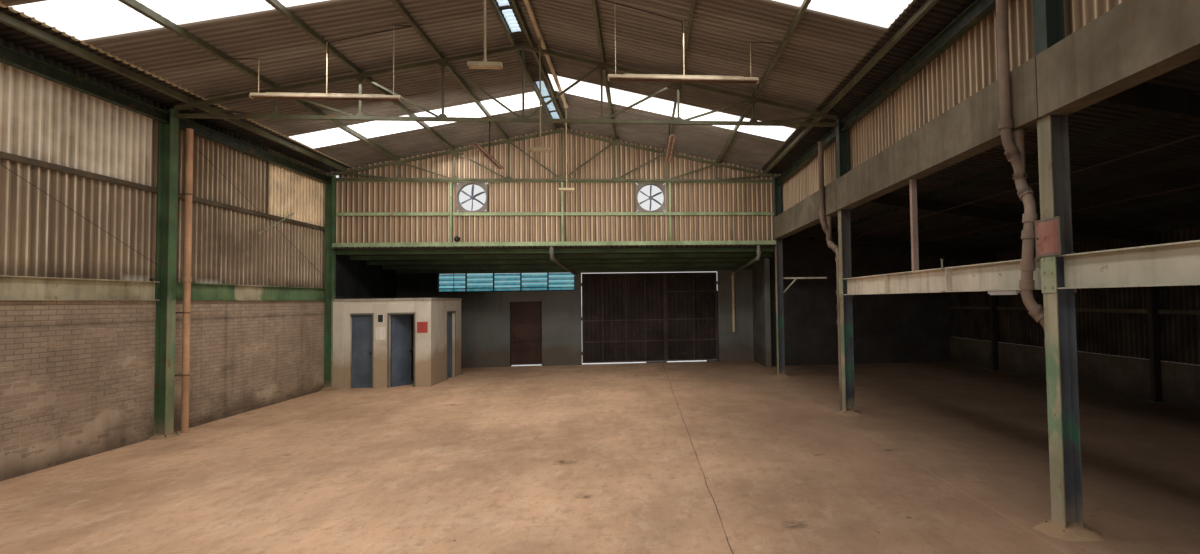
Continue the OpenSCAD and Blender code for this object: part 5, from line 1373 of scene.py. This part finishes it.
def toilet_door_fittings():
    """Frames on the walls around the three toilet doors, and a beaded panel and knob on each leaf."""
    shape = Shape()
    front, side, head, rim = FRONT_Y + 25.15, RIDGE_X - 3.79, FLOOR_Z + 2.11, 0.045
    for a, b, left_rim in ((RIDGE_X - 6.03, RIDGE_X - 5.43, 0.0), (RIDGE_X - 4.96, RIDGE_X - 4.27, rim)):
        for xa, xb in ((b, b + rim), (a - left_rim, a)):
            if xb > xa:
                shape.block((xa, front - 0.012, FLOOR_Z), (xb, front, head))
        shape.block((a - left_rim, front - 0.014, head), (b + rim, front, head + 0.05))
    y0, y1 = FRONT_Y + 26.605, FRONT_Y + 27.495
    for y in (y0, y1 - rim):
        shape.block((side, y, FLOOR_Z), (side + 0.012, y + rim, head))
    shape.block((side, y0, head), (side + 0.014, y1, head + 0.05))
    shape.piece("toilet_door_frames", "door_frame_paint")
    pins = {joint["child"]: Vector(joint["pos_m"]) for joint in frame["joints"]}
    for body, node, angle, wide, way in (("first_toilet_door", "toilet_door_left", 0.0, 0.585, -1),
                                         ("second_toilet_door", "toilet_door_right", 60.0, 0.675, -1),
                                         ("side_toilet_door", "toilet_side_door", -105.0, 0.785, 1)):
        pin = pins[body]
        turn = Matrix.Rotation(math.radians(angle), 4, "Z")
        place = Matrix.Translation(Vector((pin.x, pin.y, FLOOR_Z))) @ turn
        leaf, face, bead = Shape(), 0.04 * way, 0.02
        xa, xb = 0.08, wide - 0.08
        y0, y1 = sorted((face, face + way * 0.006))
        for za, zb in ((0.16, 0.9), (1.08, 1.95)):
            for left, right, low, high in ((xa, xb, za, za + bead), (xa, xb, zb - bead, zb),
                                           (xa, xa + bead, za + bead, zb - bead),
                                           (xb - bead, xb, za + bead, zb - bead)):
                leaf.block((left, y0, low), (right, y1, high), place=place)
        knob = place @ Vector((wide - 0.06, face, 1.0))
        out = (place.to_3x3() @ Vector((0, way, 0))).normalized()
        leaf.disc(knob, out, 0.026, 0.004, 20, slot=1)
        leaf.tube([knob, knob + out * 0.03], 0.008, 10, slot=1)
        leaf.tube([knob + out * reach for reach in (0.022, 0.034, 0.05, 0.058)],
                  [0.012, 0.024, 0.024, 0.012], 16, slot=1)
        leaf.piece(node + "_beads", "blue_door_paint dark_steel", body=body)


def blank_plates():
    """Blank plates, each with a folded rim and four screws."""
    shape = Shape()
    for low, high in solids("wall_plates"):
        size = high - low
        if size[0] < size[2] * 0.3:
            shape.block(low, high, 0.003, slot=3)
            shape.block((low.x - 0.003, low.y + 0.025, low.z + 0.025),
                        (low.x, high.y - 0.025, high.z - 0.025), 0.001, slot=5)
            for za, zb in ((low.z - 0.004, low.z + 0.012), (high.z - 0.012, high.z + 0.004)):
                shape.block((low.x - 0.004, low.y, za), (high.x, high.y, zb), 0.002, slot=3)
            shape.disc((low.x, (low.y + high.y) / 2 + 0.14, (low.z + high.z) / 2), -X, 0.012, 0.006, 12,
                       slot=4)
            continue
        slot = 1 if size[0] < 0.2 else (0 if size[0] < 0.28 else 2)
        base = 0 if slot == 1 else slot
        shape.block(low, high, 0.0015, slot=base)
        inset = 0.012
        shape.block((low.x + inset, low.y - 0.001, low.z + inset),
                    (high.x - inset, low.y, high.z - inset), 0.0004, slot=slot)
        for x in (low.x + 0.01, high.x - 0.01):
            for z in (low.z + 0.01, high.z - 0.01):
                shape.disc((x, low.y, z), -Y, 0.004, 0.002, 10, slot=4)
    shape.piece("blank_plates", "plate_white plate_dark plate_red box_rim dark_steel box_lid",
                replaces=["wall_plates"])


# Small steelwork and trim

def small_steel():
    """The wall's diagonal rods, aisle conduits, the lamp under a beam, a hook and a bell."""
    shape = Shape()
    wall = RIDGE_X + WALL_FACE_X + 0.012
    for y in FRAMES[:4]:
        stretch = (6.07 if y < 1.0 or y > 19.0 else 6.49) / 6.07
        shape.tube([(wall, FRONT_Y + y + 0.81 * stretch, FLOOR_Z + 5.65),
                    (wall, FRONT_Y + y + 5.99 * stretch, FLOOR_Z + 3.2)], 0.004, 6)
    shape.bar((wall + 0.01, FRONT_Y + 21.93, FLOOR_Z + 4.11), (wall + 0.01, FRONT_Y + 23.42, FLOOR_Z + 4.82),
              0.008, 0.03, 0.001, slot=1)
    for x in (RIDGE_X + 8.6, RIDGE_X + 10.3):
        low_z = min(met("aisle_rafters", x, y, FLOOR_Z + 0.5, Z) for y in FRAMES_Y) - 0.014
        shape.tube([(x, FRAMES_Y[0], low_z), (x, FRAMES_Y[-1], low_z)], 0.014, 10, slot=2)
        for y in FRAMES_Y:
            shape.disc((x, y - 0.02, low_z), Y, 0.018, 0.04, 12, slot=2, bore=0.0135)
    beam = [b for b in solids("mid_beams") if b[1][1] - b[0][1] > 1.0][0]
    bottom, top = beam[0][2], beam[1][2]
    lamp = at(6.55, 13.2, 0)
    shape.block((lamp.x - 0.025, lamp.y, bottom - 0.035), (lamp.x + 0.025, lamp.y + 0.56, bottom), 0.004,
                slot=4)
    shape.tube([(lamp.x, lamp.y + y, bottom - 0.042) for y in (0.02, 0.54)], 0.01, 10, slot=4)
    hook = at(6.57, 14.95, 0)
    shape.tube([(hook.x, hook.y, top), (hook.x, hook.y, top + 0.13)], 0.014, 10, slot=1)
    shape.disc((hook.x, hook.y, top + 0.12), Z, 0.024, 0.012, 12, slot=1)
    bell = Vector((RIDGE_X - 3.01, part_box("gable_frame")[0][1], FLOOR_Z + 4.28))
    shape.tube([bell - Y * out for out in (0.0, 0.03, 0.05, 0.075)], [0.085, 0.085, 0.07, 0.03], 24)
    shape.disc(bell - Y * 0.075, -Y, 0.012, 0.01, 10, slot=1)
    shape.piece("small_steel", "dark_steel pale_green_paint conduit_paint lamp_housing bolt_white", smooth=True)


def flashings():
    """Folded trim on the verges, and straps around the gutters."""
    shape = Shape()
    low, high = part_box("roof_sheets")
    for side in (-1, 1):
        ridge, slope = slab_line("roof_sheets", side)
        up = upward(slope, Y)
        length = abs(ridge.x - (low[0] if side < 0 else high[0])) / abs(slope.x)
        top = ridge + up * 0.021
        for y, way in ((low[1], 1), (high[1], -1)):
            a = Vector((top.x, y, top.z))
            b = a + slope * (length - 0.01)
            for fold in (Y * way * 0.14, -up * 0.11):
                shape.add([a, b, b + fold, a + fold], [(0, 1, 2, 3)])
    shape.piece("verge_flashings", "roof_sheet", thick=0.002)
    straps = Shape()
    t = 0.003
    for a, b in solids("eave_gutters"):
        count = int((b[1] - a[1]) / 1.2)
        for k in range(count + 1):
            y = a[1] + 0.1 + k * (b[1] - a[1] - 0.2) / count
            for x0, x1, z0, z1 in ((a[0] - t, b[0] + t, a[2] - t, a[2]), (a[0] - t, b[0] + t, b[2], b[2] + t),
                                   (a[0] - t, a[0], a[2], b[2]), (b[0], b[0] + t, a[2], b[2])):
                straps.block((x0, y - 0.012, z0), (x1, y + 0.012, z1), 0.0005)
    straps.piece("gutter_straps", "dark_steel")


def wall_closers():
    """Folded plates that close the wall between brickwork and sheets behind the left columns."""
    shape = Shape()
    beam_low, beam_high = [b for b in solids("side_beams") if b[1][2] < FLOOR_Z + 4.0 and b[0][0] < 0][0]
    x, z0, z1 = beam_low.x + 0.004, beam_low.z - 0.03, beam_high.z + 0.06
    for low, high in solids("left_columns"):
        y0, y1 = low.y - 0.04, high.y + 0.04
        shape.block((x, y0, z0), (x + 0.003, y1, z1), 0.0008)
        for z in (z0, z1 - 0.003):
            shape.block((x, y0, z), (x + 0.03, y1, z + 0.003), 0.0008)
    shape.piece("wall_closers", "girt_paint")


def dust_heaps():
    """Dust and crumbs swept against the columns' feet."""
    shape = Shape()
    rng = random.Random(5)
    rings, sides = 5, 18
    for low, high in solids("left_columns") + solids("right_columns"):
        centre = Vector((low[0] + 0.1, (low[1] + high[1]) / 2, FLOOR_Z - 0.004))
        wide, tall = rng.uniform(0.26, 0.34), rng.uniform(0.07, 0.1)
        corners = []
        for r in range(1, rings + 1):
            share = r / rings
            for turn in ring_turns(sides):
                out = Vector((math.cos(turn), math.sin(turn), 0))
                reach = wide * share * (1 + 0.3 * noise.noise(centre + out * 2.3))
                lump = 0.35 * noise.noise((centre + out * reach) * 9)
                rise = tall * max(0.0, (1 - share * share) + lump * (1 - share))
                corners.append(centre + out * reach + Z * rise)
        peak = len(corners)
        faces = [(peak, k, (k + 1) % sides) for k in range(sides)]
        shape.add(corners + [centre + Z * tall], band_faces(rings, sides) + faces)
    shape.piece("dust_heaps", "dust_pile", smooth=True)


def wall_smears():
    """Plaster smeared over the left brick wall: it fills the joints where it is thick."""
    low, high = solids("side_block_walls")[0]
    step = 0.05
    across = int((high[1] - low[1]) / step)
    rows = int((high[2] - low[2] - 0.02) / step)
    shape = Shape()
    corners = []
    for i in range(across + 1):
        for j in range(rows + 1):
            y = low[1] + (high[1] - low[1]) * i / across
            z = low[2] + 0.01 + (high[2] - low[2] - 0.02) * j / rows
            cloud = noise.fractal(Vector((0.0, y * 0.9, z * 1.6)), 0.9, 2.1, 5)
            foot = 0.55 - (z - low[2]) * 0.65
            along = 0.25 * math.sin((y - FRONT_Y) * 0.8)
            fill = max(-1.0, min(1.0, (cloud * 1.5 + foot + along)))
            ripple = noise.noise(Vector((3.0, y * 9, z * 14))) * 0.0012
            corners.append((high[0] - 0.006 + 0.0065 * fill + ripple, y, z))
    faces = [(k, k + rows + 1, k + rows + 2, k + 1)
             for k in (i * (rows + 1) + j for i in range(across) for j in range(rows))]
    shape.add(corners, faces)
    shape.piece("left_wall_plaster", "wall_smear", smooth=True)


PITCH = math.atan2(-slab_line("roof_sheets", 1)[1].z, slab_line("roof_sheets", 1)[1].x)
CHORD_Z = TRUSS_LO[2] + CHORD / 2
RIDGE_Z = TRUSS_HI[2] - CHORD / 2 / math.cos(PITCH)
PANEL = (NAVE_HALF - TRUSS_SEAT) / 4
FRAMES_Y = sorted((low[1] + high[1]) / 2 for low, high in solids("roof_trusses"))
FRAMES = [y - FRONT_Y for y in FRAMES_Y]
for make in (wall_sheets, roofs, lean_to_roofs, ridge_strip, brick_walls, base_plates, gussets, purlin_cleats,
             collars, downpipes, lamp_lines, fan_housings, fan_rotors, louvres, gate_rails, door_stops,
             gate_straps, corner_trims, back_door_rails, dust_heaps, toilet_door_fittings, blank_plates,
             small_steel, flashings, wall_smears, wall_closers):
    make()


# Stage, light and camera

def stage_floor():
    mesh = bpy.data.meshes.new("stage_floor")
    size = 900.0
    mesh.from_pydata([(size * (2 * u - 1), size * (2 * v - 1), -0.002) for u, v in SQUARE], [], [(0, 1, 2, 3)])
    plain("stage_grey", "#DADAD8", 0.9)
    mesh.materials.append(FINISHES["stage_grey"])
    obj = bpy.data.objects.new("stage_floor", mesh)
    bpy.context.collection.objects.link(obj)


def area_light(name, place, size, towards, power, colour=(1, 1, 1)):
    data = bpy.data.lights.new(name, "AREA")
    data.shape = "RECTANGLE"
    data.size, data.size_y = size
    data.energy = power
    data.color = colour
    obj = bpy.data.objects.new(name, data)
    obj.location = place
    obj.rotation_euler = Vector(towards).to_track_quat("-Z", "Y").to_euler()
    obj.visible_camera = False
    obj.visible_glossy = False
    bpy.context.collection.objects.link(obj)


def world_light():
    """A soft sky that lights the building, and plain white where a ray sees it."""
    world = bpy.data.worlds.new("world")
    bpy.context.scene.world = world
    world.use_nodes = True
    tree = world.node_tree
    tree.nodes.clear()
    path, white, soft, seen, both, mix, out = (tree.nodes.new("ShaderNode" + kind) for kind in (
        "LightPath", "Background", "Background", "Math", "Math", "MixShader", "OutputWorld"))
    white.inputs["Strength"].default_value = 1.0
    soft.inputs["Color"].default_value = (0.93, 0.96, 1.0, 1.0)
    soft.inputs["Strength"].default_value = 0.6
    seen.operation = both.operation = "MAXIMUM"
    for start, end in ((path.outputs["Is Camera Ray"], seen.inputs[0]),
                       (path.outputs["Is Glossy Ray"], seen.inputs[1]), (seen.outputs[0], both.inputs[0]),
                       (path.outputs["Is Transmission Ray"], both.inputs[1]), (both.outputs[0], mix.inputs[0]),
                       (soft.outputs[0], mix.inputs[1]), (white.outputs[0], mix.inputs[2]),
                       (mix.outputs[0], out.inputs[0])):
        tree.links.new(start, end)


def lights():
    world_light()
    sun = bpy.data.lights.new("sun", "SUN")
    sun.energy = 1.6
    sun.angle = math.radians(25)
    sun_obj = bpy.data.objects.new("sun", sun)
    sun_obj.rotation_euler = [math.radians(turn) for turn in (48, 10, -35)]
    bpy.context.collection.objects.link(sun_obj)
    front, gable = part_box("front_cladding")[1][1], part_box("gable_cladding")[0][1]
    bands = [b for b in solids("skylights") if b[1][1] - b[0][1] < 2.0]
    for number, (low, high) in enumerate(bands):
        side, power = (-1, 150.0) if low[0] < RIDGE_X else (1, 135.0)
        middle = (low + high) / 2
        if middle[1] > FRAMES_Y[3]:
            power *= 0.5
        length = min(6.4, 2 * min(middle[1] - front, gable - middle[1]) - 0.3)
        area_light(f"roof_light_{number}", (middle[0], middle[1], middle[2] - 0.35), (length, 1.0),
                   (-0.2 * side, 0, -1), power)
    area_light("front_fill", at(0, 1.0, 2.6), (11, 4.0), (0, 1, 0.15), 120.0)
    area_light("gable_wash", at(0, 20.4, 5.9), (9, 0.5), (0, 1, -0.4), 190.0, (1.0, 0.97, 0.93))
    area_light("floor_bounce", at(-1.0, 19.0, 0.6), (9, 9), (0, 0.2, 1), 90.0, (1.0, 0.9, 0.78))
    area_light("annex_fill", at(1.0, HALL_LEN + 3.0, 2.8), (6, 1.5), (0, 0.2, -1), 11.0)
    area_light("aisle_fill", at(10.2, 12.0, 3.6), (3, 20), (0, 0, -1), 7.5)
    area_light("back_yard", at(1.5, 32.2, 2.2), (9, 2.5), (0, -0.3, -1), 110.0)


def camera():
    """The photograph's view: the camera's place, turns, lens and sideways shift were fitted to it."""
    data = bpy.data.cameras.new("camera")
    data.sensor_width = 36.0
    data.lens = 18.22
    data.shift_x = -0.0833
    data.clip_end = 400.0
    obj = bpy.data.objects.new("camera", data)
    bpy.context.collection.objects.link(obj)
    place, yaw, pitch, roll = Vector((-1.182, -8.385, 2.545)), -0.0992, 0.0377, -0.0154
    look = Vector((math.sin(-yaw) * math.cos(pitch), math.cos(yaw) * math.cos(pitch), math.sin(pitch)))
    right = look.cross(Z).normalized()
    up = right.cross(look).normalized()
    turn = Matrix((right * math.cos(roll) + up * math.sin(roll), up * math.cos(roll) - right * math.sin(roll),
                   -look)).transposed()
    obj.matrix_world = Matrix.Translation(place) @ turn.to_4x4()
    bpy.context.scene.camera = obj


stage_floor()
lights()
camera()
bpy.context.scene.view_settings.view_transform = "Standard"

NODE_FINISHES = {
    "floor_concrete": "floor_slab", "blockwork": "side_block_walls front_block_wall",
    "left_column_paint": "left_columns", "right_column_paint": "right_columns", "post_paint": "aisle_posts",
    "side_beam_paint": "side_beams", "girt_paint": "wall_girts", "gable_paint": "gable_frame",
    "truss_paint": "roof_trusses roof_purlins", "lean_to_steel": "lean_to_purlins",
    "green_paint": "eave_gutters", "band_plaster": "fascia_band", "mid_beam_paint": "mid_beams",
    "lean_to_sheet": "aisle_roof annex_roof", "aisle_steel": "aisle_rafters",
    "aisle_plaster": "aisle_back_wall", "annex_plaster": "annex_wall_piers annex_walls",
    "lintel_plaster": "lintels", "louvre_metal": "louvre_window",
    "toilet_plaster": "toilet_piers toilet_back_wall", "slab_plaster": "toilet_roof",
    "fan_metal": "fan_frames fan_left fan_right", "gate_steel": "gate_left gate_right",
    "brown_door_paint": "back_door", "blue_door_paint": "toilet_door_left toilet_door_right toilet_side_door",
    "pipe_paint": "downpipes", "lamp_housing": "lamps", "plate_paint": "wall_plates",
}
for finish_name, node_names in NODE_FINISHES.items():
    for node_name in node_names.split():
        mesh = frame["nodes"][node_name].data
        mesh.materials.clear()
        mesh.materials.append(FINISHES[finish_name])
